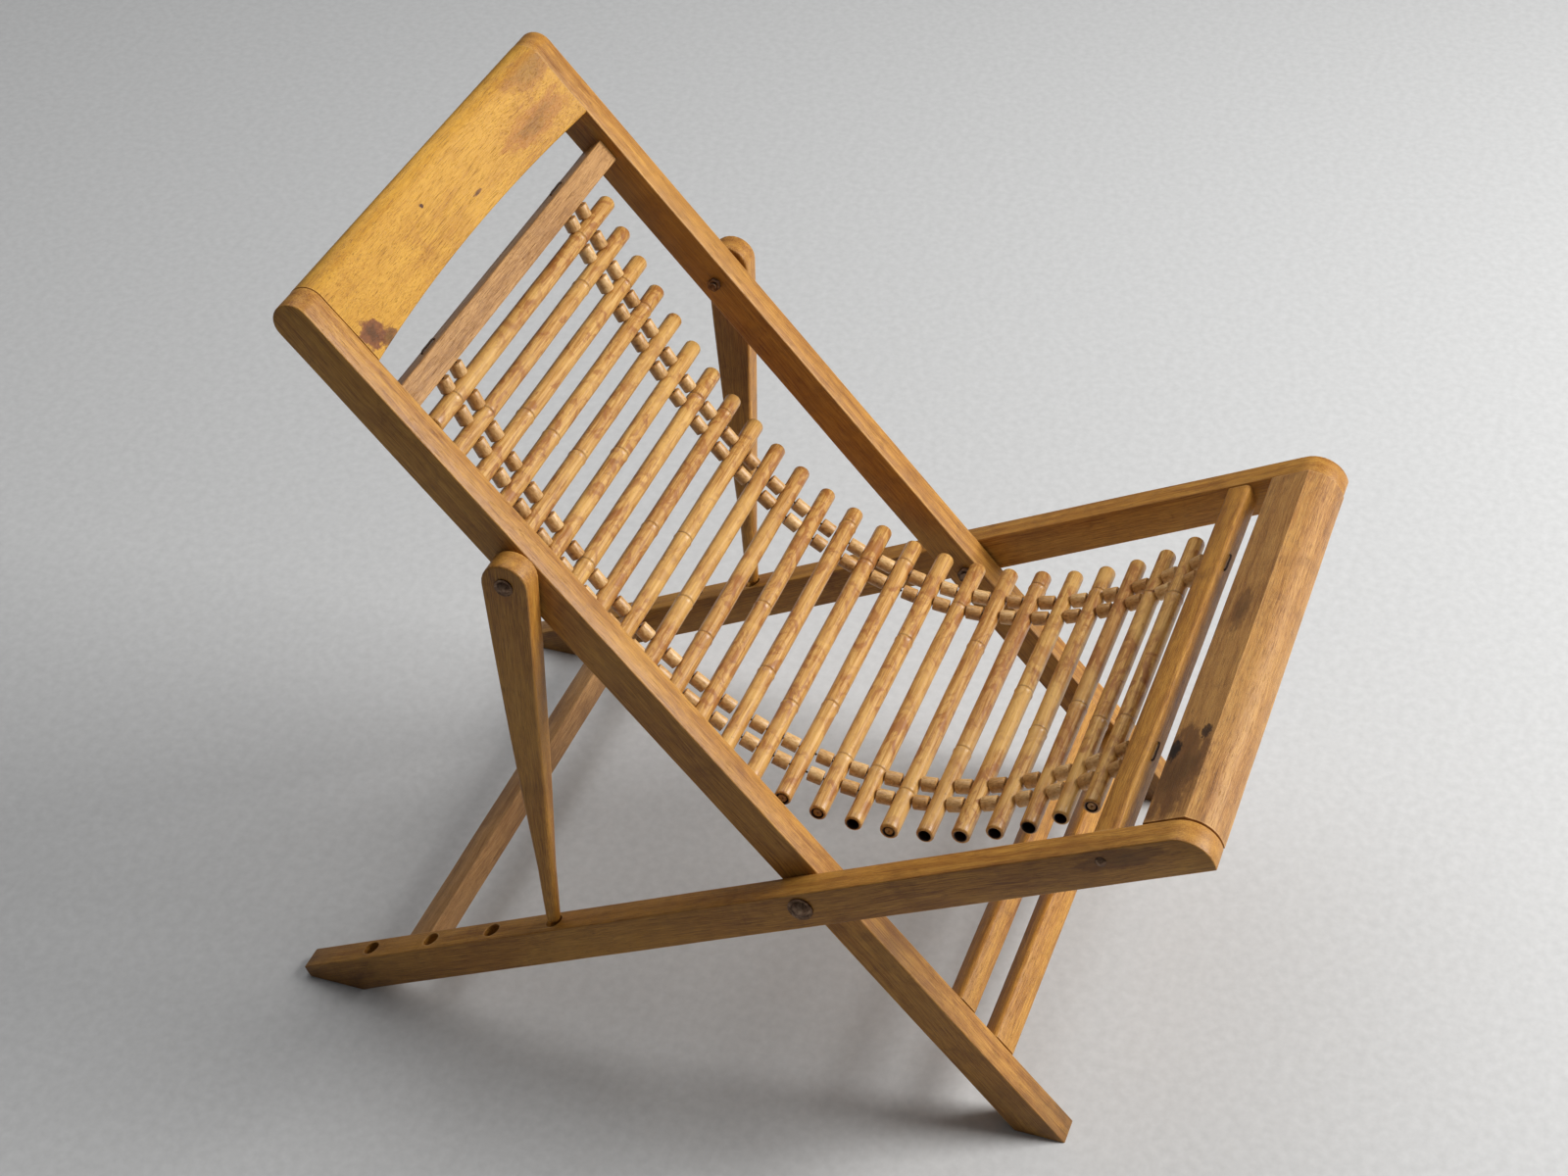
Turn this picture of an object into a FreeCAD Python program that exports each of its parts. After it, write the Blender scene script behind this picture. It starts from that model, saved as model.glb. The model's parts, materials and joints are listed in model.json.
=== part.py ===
import FreeCAD, Part
import math
import os

# A folding deck chair of varnished wood with a strung bamboo sling.
#
# Two frames cross at a pair of pivot bolts. The seat frame (outer) runs from the rear
# feet up to the front bar. The back frame (inner) runs from the front feet up to the
# headboard. Two prop arms hang from the back rails and stand with their pegs in one of
# four holes in each seat rail. The sling is 24 canes on four strings with a bead in
# every gap, hung from the top crossbar to the sling bar as a catenary.
#
# Frame: +Z up, X across the chair, -Y to the front. The origin is at the floor, in the
# middle of the chair's box. Lengths are millimetres, angles degrees.
#
# Each wooden frame has a plane of its own through the pivots: "along" runs with the
# rails and "above" is square to them. In the seat's local frame +Y is rearward and
# down, in the back's it is rearward and up; +Z is square to the rails in both.

V = FreeCAD.Vector
X_AXIS = V(1, 0, 0)
Y_AXIS = V(0, 1, 0)
Z_AXIS = V(0, 0, 1)
SIDES = {"left": -1, "right": 1}

SIZES = {
    # where the two frames cross, and how they lean from level
    "pivot_y": -83.1,
    "pivot_height": 266.5,
    "seat_lean": 26.4,
    "back_lean": 48.3,
    # seat rails: outer face, section, and reach from the pivot to each end
    "seat_outer": 304,
    "seat_thick": 29,
    "seat_depth": 41,
    "seat_below": 24,
    "seat_front_reach": 418,
    "seat_rear_reach": 606,
    # quarter-round nose at the front of the seat rails and the front bar
    "nose_radius": 33,
    # back rails
    "back_outer": 272.5,
    "back_thick": 32,
    "back_depth": 39,
    "back_below": 22,
    "back_top_reach": 735,
    "back_foot_reach": 400,
    # bars of the seat frame: start along the rail towards the front, width, underside
    "front_bar_start": 353,
    "sling_bar_start": 303,
    "sling_bar_wide": 26,
    "sling_bar_low": -9,
    "sling_bar_tall": 24,
    "rear_bar_start": -482,
    "rear_bar_wide": 30,
    "rear_bar_low": -10,
    "rear_bar_tall": 25,
    # bars of the back frame: start along the rail towards the top, width, underside
    "top_bar_start": 582,
    "top_bar_wide": 26,
    "top_bar_low": -22,
    "top_bar_tall": 28,
    "foot_bar_upper_start": -218,
    "foot_bar_upper_wide": 26,
    "foot_bar_lower_start": -278,
    "foot_bar_lower_wide": 31,
    "foot_bar_low": -6,
    "foot_bar_tall": 23,
    # headboard: start along the rail, thickness, hollow of its face, arch of its edge
    "headboard_start": 639,
    "headboard_thick": 26,
    "headboard_hollow": 13,
    "headboard_arch": 8,
    # peg holes in the seat rails
    "peg_hole_radius": 9,
    "peg_hole_deep": 26,
    "peg_hole_first": 287,
    "peg_hole_pitch": 78.7,
    "peg_hole_x": 288.5,
    # prop arms: pivot on the back rail, section at the head, peg
    "prop_pivot_along": 418,
    "prop_pivot_above": -2.5,
    "prop_thick": 26,
    "prop_head_radius": 23,
    "prop_blade": 330,
    "prop_neck": 19,
    "peg_radius": 7,
    "peg_dip": 0.6,
    "peg_forward": 3,
    # pivot bolts: shank, nut, spacer between the rails, washer, domed head
    "bolt_radius": 5,
    "bolt_nut_radius": 8.7,
    "bolt_nut_tall": 6,
    "bolt_tail": 3,
    "bolt_spacer_radius": 11,
    "bolt_washer_radius": 12.5,
    "bolt_washer_tall": 1.6,
    "bolt_dome_radius": 9.5,
    "bolt_dome_tall": 5,
    # prop screws, in the same order
    "prop_screw_radius": 4,
    "prop_screw_nut_radius": 7.2,
    "prop_screw_nut_tall": 5,
    "prop_screw_tail": 2.5,
    "prop_screw_spacer_radius": 10,
    "prop_screw_washer_radius": 9,
    "prop_screw_washer_tall": 1.4,
    "prop_screw_dome_radius": 6.5,
    "prop_screw_dome_tall": 3.2,
    # heads of the screws at the sling bar's ends
    "bar_screw_radius": 5.5,
    "bar_screw_dome": 2.2,
    # gaps: round a shank in a turning piece, beside a spacer, under a nut
    "running_gap": 0.05,
    "spacer_gap": 0.1,
    "nut_gap": 0.5,
    # how far a boring tool runs past the wood
    "overshoot": 1,
    # sling: canes
    "cane_count": 24,
    "cane_length": 422,
    "cane_radius": 9.5,
    "cane_hollow_radius": 5.4,
    "cane_hollow_deep": 26,
    "cane_pitch": 36,
    "cane_lead": 26.5,
    # sling: strings and beads
    "string_radius": 1,
    "string_bore": 1.7,
    "row_inner": 137,
    "row_outer": 164.5,
    "bead_radius": 7.6,
    "bead_length": 16.2,
    "hinge_bead_length": 15,
    "end_bead_length": 13.5,
    "bead_snug": 0.4,
    "top_anchor_above": -10,
    "bar_anchor_above": 4,
}

ROWS = [(side, row) for side in SIDES for row in ("row_inner", "row_outer")]
CANES_PER_GROUP = 3
GROUPS_PER_HALF = 4
PEG_HOLES = 4
STRING_START = 1.0      # first string length, off the bar's face
STRING_PAST_BEAD = 0.3  # how far a string shows past a group's last bead
STRING_RESUME = 8.0     # where the next group's string starts, from the hinge between
STRING_IN_CANE = 8.0    # where the strings end inside the cane beside the open link
STRING_TOLERANCE = 0.01  # share that a string's volume may be off its section times its length
TOOL_REACH = 60.0       # how far a cutting tool runs past the wood, where it may run far
FLOOR_SLAB = 200.0      # thickness of the block that trims the feet level
ARC_SHARE = 0.45        # share of the shorter run that a string's arc takes

doc = FreeCAD.newDocument("deck_chair")
sheet = doc.addObject("Spreadsheet::Sheet", "sizes")
nodes = {}


def fill_sheet():
    """Put every driving dimension in the sheet, one row each, with its alias."""
    for row, (alias, value) in enumerate(SIZES.items(), start=1):
        sheet.set("A%d" % row, alias.replace("_", " "))
        sheet.set("B%d" % row, str(value))
        sheet.setAlias("B%d" % row, alias)
    doc.recompute()


def size(alias):
    """Read one driving dimension."""
    return float(sheet.get(alias))


def expression(text):
    """Spell the aliases in a formula as references to the sheet."""
    words = text.replace("(", " ( ").replace(")", " ) ").split()
    return " ".join("sizes." + word if word in SIZES else word for word in words)


def assign(item, path, value):
    """Set a property to a number, or bind it when the value is a formula."""
    if isinstance(value, str):
        item.setExpression(path, expression(value))
        return
    if path.startswith("Placement.Base."):
        base = item.Placement.Base
        setattr(base, path[-1], value)
        item.Placement.Base = base
        return
    setattr(item, path, value)


def solid(kind, at=(0, 0, 0), turn=None, **sizes):
    """Make one primitive, placed at a point and turned about an axis."""
    item = doc.addObject("Part::" + kind, kind)
    if turn is not None:
        item.Placement.Rotation = FreeCAD.Rotation(*turn)
    for path, value in sizes.items():
        assign(item, path, value)
    for letter, value in zip("xyz", at):
        assign(item, "Placement.Base." + letter, value)
    return item


def box(at, length, width, height):
    """Make a block from its low corner and its sizes along X, Y and Z."""
    return solid("Box", at, Length=length, Width=width, Height=height)


def rod(at, radius, length, axis=X_AXIS):
    """Make a cylinder that starts at a point and runs along an axis."""
    turn = (V(0, 0, 1), axis)
    return solid("Cylinder", at, turn, Radius=radius, Height=length)


def join(items):
    """Fuse several solids; one on its own is only held."""
    if len(items) == 1:
        return gather(items)
    item = doc.addObject("Part::MultiFuse", "Fusion")
    item.Shapes = items
    return item


def cut(base, tools):
    """Take tools away from a base, one after the other."""
    for tool in tools:
        item = doc.addObject("Part::Cut", "Cut")
        item.Base = base
        item.Tool = tool
        base = item
    return base


def common(first, second):
    """Keep what two solids share."""
    item = doc.addObject("Part::Common", "Common")
    item.Base = first
    item.Tool = second
    return item


def gather(items):
    """Hold several separate solids in one object."""
    item = doc.addObject("Part::Compound", "Compound")
    item.Links = items
    return item


def keep(item, label, placement):
    """Name a finished sub-part and put it in its place."""
    item.Label = label
    item.Placement = placement
    nodes[label] = item


def lean(angle):
    """Place a local frame at the pivots, turned about X."""
    pivot = V(0, size("pivot_y"), size("pivot_height"))
    return FreeCAD.Placement(pivot, FreeCAD.Rotation(X_AXIS, angle))


def floor_block(frame):
    """Make the block below the floor, in a frame's local coordinates."""
    reach = size("seat_rear_reach") + size("back_top_reach")
    block = box((0, 0, 0), 2 * reach, 2 * reach, FLOOR_SLAB)
    level = FreeCAD.Placement(V(-reach, -reach, -FLOOR_SLAB), FreeCAD.Rotation())
    block.Placement = frame.inverse().multiply(level)
    return block


def on_side(side, distance):
    """Give the formula for the X of a place at a distance from the chair's middle."""
    return distance if SIDES[side] > 0 else "0 - ( %s )" % distance


def low_side(side, kind):
    """Give the formula for the low X of a seat or back rail on one side."""
    outer = kind + "_outer"
    return "%s - %s_thick" % (outer, kind) if SIDES[side] > 0 else "0 - " + outer


def make_rail(side, kind, frame, start, stop, end, holes):
    """Make one rail: a straight length joined to a rounded end, trimmed at the floor."""
    bar = box((low_side(side, kind), start, "0 - %s_below" % kind), kind + "_thick",
              "( %s ) - ( %s )" % (stop, start), kind + "_depth")
    keep(cut(join([bar, end]), [floor_block(frame)] + holes), "%s_rail_%s" % (kind, side), frame)


def cross_hole(side, kind, radius, along, above):
    """Make a hole's tool across one rail, a little longer than the rail is thick."""
    at = (low_side(side, kind) + " - overshoot", along, above)
    return rod(at, radius, kind + "_thick + 2 * overshoot")


def make_nose(low_x, wide):
    """Make the seat's quarter-round nose: an arc from the top down to a square corner."""
    centre = (low_x, "nose_radius - seat_front_reach", "seat_depth - seat_below - nose_radius")
    block = box((low_x, "0 - seat_front_reach", "0 - seat_below"), wide, "nose_radius", "seat_depth")
    return common(rod(centre, "nose_radius", wide), block)


def make_seat_rails(frame):
    """Make the two seat rails with their bolt holes and four blind peg holes each."""
    bottom = "seat_depth - seat_below - peg_hole_deep"
    for side in SIDES:
        holes = [cross_hole(side, "seat", "bolt_radius + running_gap", 0, 0)]
        for number in range(PEG_HOLES):
            along = "peg_hole_first + %d * peg_hole_pitch" % number
            at = (on_side(side, "peg_hole_x"), along, bottom)
            holes.append(rod(at, "peg_hole_radius", "peg_hole_deep + overshoot", Z_AXIS))
        nose = make_nose(low_side(side, "seat"), "seat_thick")
        make_rail(side, "seat", frame, "nose_radius - seat_front_reach", "seat_rear_reach", nose, holes)


def make_back_rails(frame):
    """Make the two back rails with holes for the pivot bolt and the prop screw."""
    half = "back_depth / 2"
    top = "back_top_reach - " + half
    for side in SIDES:
        end = rod((low_side(side, "back"), top, half + " - back_below"), half, "back_thick")
        holes = [
            cross_hole(side, "back", "bolt_radius + running_gap", 0, 0),
            cross_hole(side, "back", "prop_screw_radius + running_gap",
                       "prop_pivot_along", "prop_pivot_above"),
        ]
        make_rail(side, "back", frame, "0 - back_foot_reach", top, end, holes)


def make_bar(label, frame, inner, low_y, wide, low_z, tall, bores=()):
    """Make one square crossbar from rail to rail, with any bores for the strings."""
    blank = box((on_side("left", inner), low_y, low_z), "2 * ( %s )" % inner, wide, tall)
    keep(gather([cut(blank, bores)]), label, frame)


def string_tools(centre_y, centre_z):
    """Make the bores for the four strings through a crossbar, along local Y."""
    return [rod((on_side(side, row), centre_y - TOOL_REACH, centre_z), "string_bore", 2 * TOOL_REACH, Y_AXIS)
            for side, row in ROWS]


def make_seat_bars(frame):
    """Make the front bar, the sling bar and the rear crossbar."""
    inner = "seat_outer - seat_thick"
    low_x, span = on_side("left", inner), "2 * ( %s )" % inner
    tail = box((low_x, "nose_radius - seat_front_reach", "0 - seat_below"), span,
               "seat_front_reach - front_bar_start - nose_radius", "seat_depth")
    keep(join([make_nose(low_x, span), tail]), "front_bar", frame)
    bores = string_tools(-size("sling_bar_start"), size("bar_anchor_above"))
    make_bar("sling_bar", frame, inner, "0 - sling_bar_start - sling_bar_wide",
             "sling_bar_wide", "sling_bar_low", "sling_bar_tall", bores)
    make_bar("rear_crossbar", frame, inner, "0 - rear_bar_start - rear_bar_wide",
             "rear_bar_wide", "rear_bar_low", "rear_bar_tall")


def make_back_bars(frame):
    """Make the top crossbar and the two crossbars above the front feet."""
    inner = "back_outer - back_thick"
    bores = string_tools(size("top_bar_start"), size("top_anchor_above"))
    make_bar("top_crossbar", frame, inner, "top_bar_start", "top_bar_wide",
             "top_bar_low", "top_bar_tall", bores)
    for place in ("upper", "lower"):
        make_bar("foot_crossbar_" + place, frame, inner, "foot_bar_%s_start" % place,
                 "foot_bar_%s_wide" % place, "foot_bar_low", "foot_bar_tall")


def make_headboard(frame):
    """Make the headboard: round top, hollowed face and arched lower edge."""
    inner = size("back_outer") - size("back_thick")
    wide = "2 * ( back_outer - back_thick )"
    low_x = "0 - back_outer + back_thick"
    half = "back_depth / 2"
    face = size("back_depth") - size("back_below")
    low_z = "back_depth - back_below - headboard_thick"
    crown_y = "back_top_reach - " + half
    board = box((low_x, "headboard_start", low_z), wide,
                "back_top_reach - headboard_start - " + half, "headboard_thick")
    crown = rod((low_x, crown_y, half + " - back_below"), half, wide)
    crown_block = box((low_x, crown_y, low_z), wide, half, "headboard_thick")
    blank = join([board, common(crown, crown_block)])

    hollow = size("headboard_hollow")
    hollow_radius = (inner ** 2 + hollow ** 2) / (2 * hollow)
    start = size("headboard_start")
    scoop_at = (0, start - TOOL_REACH, face - hollow + hollow_radius)
    scoop = rod(scoop_at, hollow_radius, size("back_top_reach") - start + 2 * TOOL_REACH, Y_AXIS)
    arch = size("headboard_arch")
    arch_radius = (inner ** 2 + arch ** 2) / (2 * arch)
    bow = rod((0, start + arch - arch_radius, -TOOL_REACH), arch_radius, 2 * TOOL_REACH, Z_AXIS)
    keep(cut(blank, [scoop, bow]), "headboard", frame)


def in_seat(along, above):
    """Turn seat-frame lengths (towards the front, square to the rails) into a point."""
    return seat_frame.multVec(V(0, -along, above))


def in_back(along, above):
    """Turn back-frame lengths (towards the top, square to the rails) into a point."""
    return back_frame.multVec(V(0, along, above))


def peg_centre():
    """Find the centre of a peg's round tip, just inside the first peg hole."""
    along = -(size("peg_hole_first") - size("peg_forward"))
    above = size("seat_depth") - size("seat_below") + size("peg_radius") - size("peg_dip")
    return in_seat(along, above)


def make_props():
    """Make the prop arms: round head, tapering blade, round peg."""
    pivot = in_back(size("prop_pivot_along"), size("prop_pivot_above"))
    drop = peg_centre() - pivot
    tilt = math.degrees(math.atan2(drop.y, -drop.z))
    reach = drop.Length
    for side, sign in SIDES.items():
        half = "prop_thick / 2"
        low_x = "0 - " + half
        head = rod((low_x, 0, 0), "prop_head_radius", "prop_thick")
        blade = solid(
            "Wedge", (0, 0, 0), (X_AXIS, -90),
            Xmin="0 - " + half, Xmax=half, Ymin=0, Ymax="prop_blade",
            Zmin="0 - prop_head_radius", Zmax="prop_head_radius",
            X2min="0 - prop_neck / 2", X2max="prop_neck / 2",
            Z2min="0 - prop_neck / 2", Z2max="prop_neck / 2",
        )
        peg = solid("Cone", (0, 0, "overshoot - prop_blade"), (X_AXIS, 180),
                    Radius1="prop_neck / 2", Radius2="peg_radius",
                    Height=reach - size("prop_blade") + size("overshoot"))
        tip = solid("Sphere", (0, 0, -reach), Radius="peg_radius")
        hole = rod((low_x + " - overshoot", 0, 0), "prop_screw_radius + running_gap",
                   "prop_thick + 2 * overshoot")
        arm = cut(join([head, blade, peg, tip]), [hole])
        middle = V(sign * size("peg_hole_x"), pivot.y, pivot.z)
        keep(arm, "prop_" + side, FreeCAD.Placement(middle, FreeCAD.Rotation(X_AXIS, tilt)))


def dome(start, radius, tall):
    """Make a low dome on the bolt's axis, flat side towards the rail."""
    ball = "( {0} * {0} + {1} * {1} ) / ( 2 * {1} )".format(radius, tall)
    wide, high = size(radius) ** 2, size(tall) ** 2
    rim = math.degrees(math.asin((wide - high) / (wide + high)))
    return solid("Sphere", (0, 0, "%s - %s + %s" % (start, ball, tall)), Radius=ball, Angle1=rim)


def make_bolts(label, frame, along, above, pieces):
    """Make a left and a right fastener, built outward from the chair's middle."""
    for side, sign in SIDES.items():
        outward = FreeCAD.Rotation(Z_AXIS, V(sign, 0, 0))
        place = frame.multiply(FreeCAD.Placement(V(0, along, above), outward))
        keep(join(pieces()), label + side, place)


def through_bolt(kind, gap_end, face):
    """Give a bolt's pieces: nut, shank, spacer up to gap_end, washer on face, dome."""
    nut_start = "back_outer - back_thick - nut_gap - %s_nut_tall" % kind
    nut = solid("Prism", (0, 0, nut_start), Polygon=6,
                Circumradius=kind + "_nut_radius", Height=kind + "_nut_tall")
    shank_start = "%s - %s_tail" % (nut_start, kind)
    head_start = "%s + %s_washer_tall" % (face, kind)
    shank = rod((0, 0, shank_start), kind + "_radius",
                "%s - ( %s )" % (head_start, shank_start), Z_AXIS)
    spacer = rod((0, 0, "back_outer + spacer_gap"), kind + "_spacer_radius",
                 "%s - back_outer - 2 * spacer_gap" % gap_end, Z_AXIS)
    washer = rod((0, 0, face), kind + "_washer_radius", kind + "_washer_tall", Z_AXIS)
    return [nut, shank, spacer, washer, dome(head_start, kind + "_dome_radius", kind + "_dome_tall")]


def pivot_bolt():
    """Give the pieces of a bolt through a back rail and a seat rail."""
    return through_bolt("bolt", "seat_outer - seat_thick", "seat_outer")


def prop_screw():
    """Give the pieces of a screw through a back rail and a prop arm."""
    return through_bolt("prop_screw", "peg_hole_x - prop_thick / 2",
                        "peg_hole_x + prop_thick / 2 + spacer_gap")


def bar_screw():
    """Give the domed head of the screw that holds the sling bar's end."""
    return [dome("seat_outer", "bar_screw_radius", "bar_screw_dome")]


def make_fasteners():
    """Make the pivot bolts, prop screws and sling-bar screws."""
    make_bolts("pivot_bolt_", seat_frame, 0, 0, pivot_bolt)
    make_bolts("prop_screw_", back_frame, size("prop_pivot_along"), size("prop_pivot_above"), prop_screw)
    along = -(size("sling_bar_start") + size("sling_bar_wide") / 2)
    make_bolts("bar_screw_", seat_frame, along, size("bar_anchor_above"), bar_screw)


class Sling:
    """The line that the sling hangs in: a catenary between its two bars."""

    def __init__(self):
        self.top = in_back(size("top_bar_start"), size("top_anchor_above"))
        self.low = in_seat(size("sling_bar_start"), size("bar_anchor_above"))
        self.count = int(size("cane_count"))
        self.length = 2 * size("cane_lead") + (self.count - 1) * size("cane_pitch")
        span = self.top.y - self.low.y
        rise = self.top.z - self.low.z
        shape = math.sqrt(self.length ** 2 - rise ** 2)
        small, large = span / 20, span * 20
        for _ in range(80):
            self.curve = (small + large) / 2
            if 2 * self.curve * math.sinh(span / (2 * self.curve)) > shape:
                small = self.curve
            else:
                large = self.curve
        self.bottom_y = (self.top.y + self.low.y) / 2 - self.curve * math.atanh(rise / self.length)
        self.bottom_z = self.top.z - self.curve * math.cosh((self.top.y - self.bottom_y) / self.curve)
        self.top_arc = self.curve * math.sinh((self.top.y - self.bottom_y) / self.curve)

    def point(self, arc):
        """Find the point at a length along the sling, counted from the top bar."""
        y = self.bottom_y + self.curve * math.asinh((self.top_arc - arc) / self.curve)
        return V(0, y, self.bottom_z + self.curve * math.cosh((y - self.bottom_y) / self.curve))

    def cane(self, number):
        """Find the centre of a cane, numbered from 1 at the top."""
        return self.point(size("cane_lead") + (number - 1) * size("cane_pitch"))

    def stop(self, number):
        """Find a cane's centre, or the bar's face where the number is past an end."""
        if number < 1:
            return self.top
        if number > self.count:
            return self.low
        return self.cane(number)

    def gap_middle(self, number):
        """Find the middle of the gap between a cane and the next."""
        return (self.stop(number) + self.stop(number + 1)) * 0.5


class Group:
    """Canes that move as one: some of one half, in order from its bar."""

    def __init__(self, sling, half, number):
        self.sling = sling
        self.half = half
        self.number = number
        first = (number - 1) * CANES_PER_GROUP + 1
        order = range(first, first + CANES_PER_GROUP)
        self.step = 1 if half == "upper" else -1
        self.canes = [n if half == "upper" else sling.count + 1 - n for n in order]
        self.before = self.canes[0] - self.step
        self.after = self.canes[-1] + self.step
        self.ends_sling = number == GROUPS_PER_HALF and half == "lower"

    def hinge(self):
        """Find the point that the group turns about: a bar's face or a gap's middle."""
        if self.number == 1:
            return self.sling.stop(self.before)
        return (self.sling.stop(self.before) + self.sling.cane(self.canes[0])) * 0.5

    def bead_stops(self):
        """List the pairs of stops that the group's beads lie between."""
        stops = ([self.before] if self.number == 1 else []) + self.canes
        stops += [] if self.ends_sling else [self.after]
        return list(zip(stops, stops[1:]))


def facing(direction):
    """Turn local Y to a direction in the YZ plane."""
    return FreeCAD.Rotation(X_AXIS, math.degrees(math.atan2(direction.z, direction.y)))


def make_cane(sling, number):
    """Make one cane: hollow ends and a bore for each string."""
    half = "cane_length / 2"
    body = rod(("0 - " + half, 0, 0), "cane_radius", "cane_length")
    deep = "cane_hollow_deep + overshoot"
    tools = [
        rod(("0 - " + half + " - overshoot", 0, 0), "cane_hollow_radius", deep),
        rod((half + " - cane_hollow_deep", 0, 0), "cane_hollow_radius", deep),
    ]
    for side, row in ROWS:
        tools.append(rod((on_side(side, row), "0 - cane_radius - overshoot", 0), "string_bore",
                         "2 * cane_radius + 2 * overshoot", Y_AXIS))
    along = sling.stop(number - 1) - sling.stop(number + 1)
    place = FreeCAD.Placement(sling.cane(number), facing(along))
    keep(cut(body, tools), "cane_%02d" % number, place)


def make_beads(group):
    """Make a group's beads: one in each gap on each string, against one of its canes.

    A bead beside a bar is shorter, so that it clears the bar where the string slants,
    and a bead where the sling bends is a little shorter than the rest.
    """
    beads = []
    for start, end in group.bead_stops():
        beside_bar = not 1 <= start <= group.sling.count
        bends = "hinge_bead_length" if end == group.after else "bead_length"
        long = "end_bead_length" if beside_bar else bends
        first, second = group.sling.stop(start), group.sling.stop(end)
        run = (second - first).normalize()
        off = size("cane_radius") + size("bead_snug") + size(long) / 2
        centre = second - run * off if beside_bar else first + run * off
        for side, row in ROWS:
            body = rod((0, "0 - %s / 2" % long, 0), "bead_radius", long, Y_AXIS)
            bore = rod((0, "0 - %s / 2 - overshoot" % long, 0), "string_bore",
                       long + " + 2 * overshoot", Y_AXIS)
            bead = cut(body, [bore])
            bead.Placement = FreeCAD.Placement(centre, facing(run))
            bead.setExpression("Placement.Base.x", expression(on_side(side, row)))
            beads.append(bead)
    keep(gather(beads), "beads_%s_%d" % (group.half, group.number), FreeCAD.Placement())


def string_route(group):
    """List the points that a group's strings pass through."""
    sling = group.sling
    canes = [sling.cane(number) for number in group.canes]
    hinge = group.hinge()
    start_off = STRING_START if group.number == 1 else STRING_RESUME
    start = hinge + (canes[0] - hinge).normalize() * start_off
    beyond = sling.stop(group.after) - canes[-1]
    if group.ends_sling:
        reach = STRING_IN_CANE
    else:
        reach = size("cane_radius") + size("bead_snug") + size("hinge_bead_length") + STRING_PAST_BEAD
    return [start] + canes + [canes[-1] + beyond.normalize() * reach]


def rounded_wire(points):
    """Join points with straight runs and an arc, tangent to both runs, at each turn."""
    edges = []
    last = points[0]
    for before, corner, after in zip(points, points[1:], points[2:]):
        back = (before - corner).normalize()
        ahead = (after - corner).normalize()
        half_turn = (math.pi - back.getAngle(ahead)) / 2
        cut_back = ARC_SHARE * min((before - corner).Length, (after - corner).Length)
        radius = cut_back / math.tan(half_turn)
        inward = (back + ahead).normalize()
        middle = corner + inward * (radius / math.cos(half_turn) - radius)
        start, end = corner + back * cut_back, corner + ahead * cut_back
        edges.append(Part.makeLine(last, start))
        edges.append(Part.Arc(start, middle, end).toShape())
        last = end
    edges.append(Part.makeLine(last, points[-1]))
    return Part.Wire(edges)


def make_strings(group):
    """Sweep a group's four strings along their route."""
    route = string_route(group)
    wire = rounded_wire(route)
    section = Part.makeCircle(size("string_radius"), route[0], route[1] - route[0])
    tube = wire.makePipeShell([Part.Wire(section)], True, True)
    wanted = math.pi * size("string_radius") ** 2 * wire.Length
    if abs(tube.Volume / wanted - 1) > STRING_TOLERANCE:
        raise RuntimeError("a string's volume doesn't match its length")
    tubes = []
    for side, row in ROWS:
        copy = tube.copy()
        copy.translate(V(SIDES[side] * size(row), 0, 0))
        tubes.append(copy)
    item = doc.addObject("Part::Feature", "Strings")
    item.Shape = Part.makeCompound(tubes)
    keep(item, "strings_%s_%d" % (group.half, group.number), FreeCAD.Placement())


def make_sling():
    """Make all the canes, then each group's beads and strings."""
    sling = Sling()
    for number in range(1, sling.count + 1):
        make_cane(sling, number)
    groups = [Group(sling, half, number)
              for half in ("upper", "lower") for number in range(1, GROUPS_PER_HALF + 1)]
    for group in groups:
        make_beads(group)
        make_strings(group)


def check_and_write():
    """Refuse a failed object or a bad shape, then write one file for each node."""
    for item in doc.Objects:
        if "Invalid" in item.State or "Error" in item.State:
            raise RuntimeError("%s (%s) failed: %s" % (item.Name, item.Label, item.State))
    for label, item in nodes.items():
        if item.Shape.isNull() or not item.Shape.isValid() or not item.Shape.Solids:
            raise RuntimeError(label + " has no valid solid")
    os.makedirs("parts", exist_ok=True)
    whole = FreeCAD.BoundBox()
    for label, item in nodes.items():
        item.Shape.exportStep("parts/%s.step" % label)
        whole.add(item.Shape.BoundBox)
    print("%d nodes" % len(nodes))
    print("box X %.2f %.2f  Y %.2f %.2f  Z %.2f %.2f" % (
        whole.XMin, whole.XMax, whole.YMin, whole.YMax, whole.ZMin, whole.ZMax))


fill_sheet()
seat_frame = lean(-size("seat_lean"))
back_frame = lean(size("back_lean"))
make_seat_rails(seat_frame)
make_back_rails(back_frame)
make_seat_bars(seat_frame)
make_back_bars(back_frame)
make_headboard(back_frame)
make_props()
make_fasteners()
make_sling()
doc.recompute()
check_and_write()
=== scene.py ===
"""Looks of a folding deck chair: varnished wood, strung bamboo sling, aged bolts.

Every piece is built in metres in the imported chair's own frame: +Z up, X across the
chair, -Y to the front. Rails, bars and prop arms are shaped in a local frame whose
Y runs along the wood, then moved into place in their meshes.
"""

import json
import logging
import math
import random
from dataclasses import dataclass, field
from enum import Enum

import bmesh
import bpy
from mathutils import Matrix, Vector, noise

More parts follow.
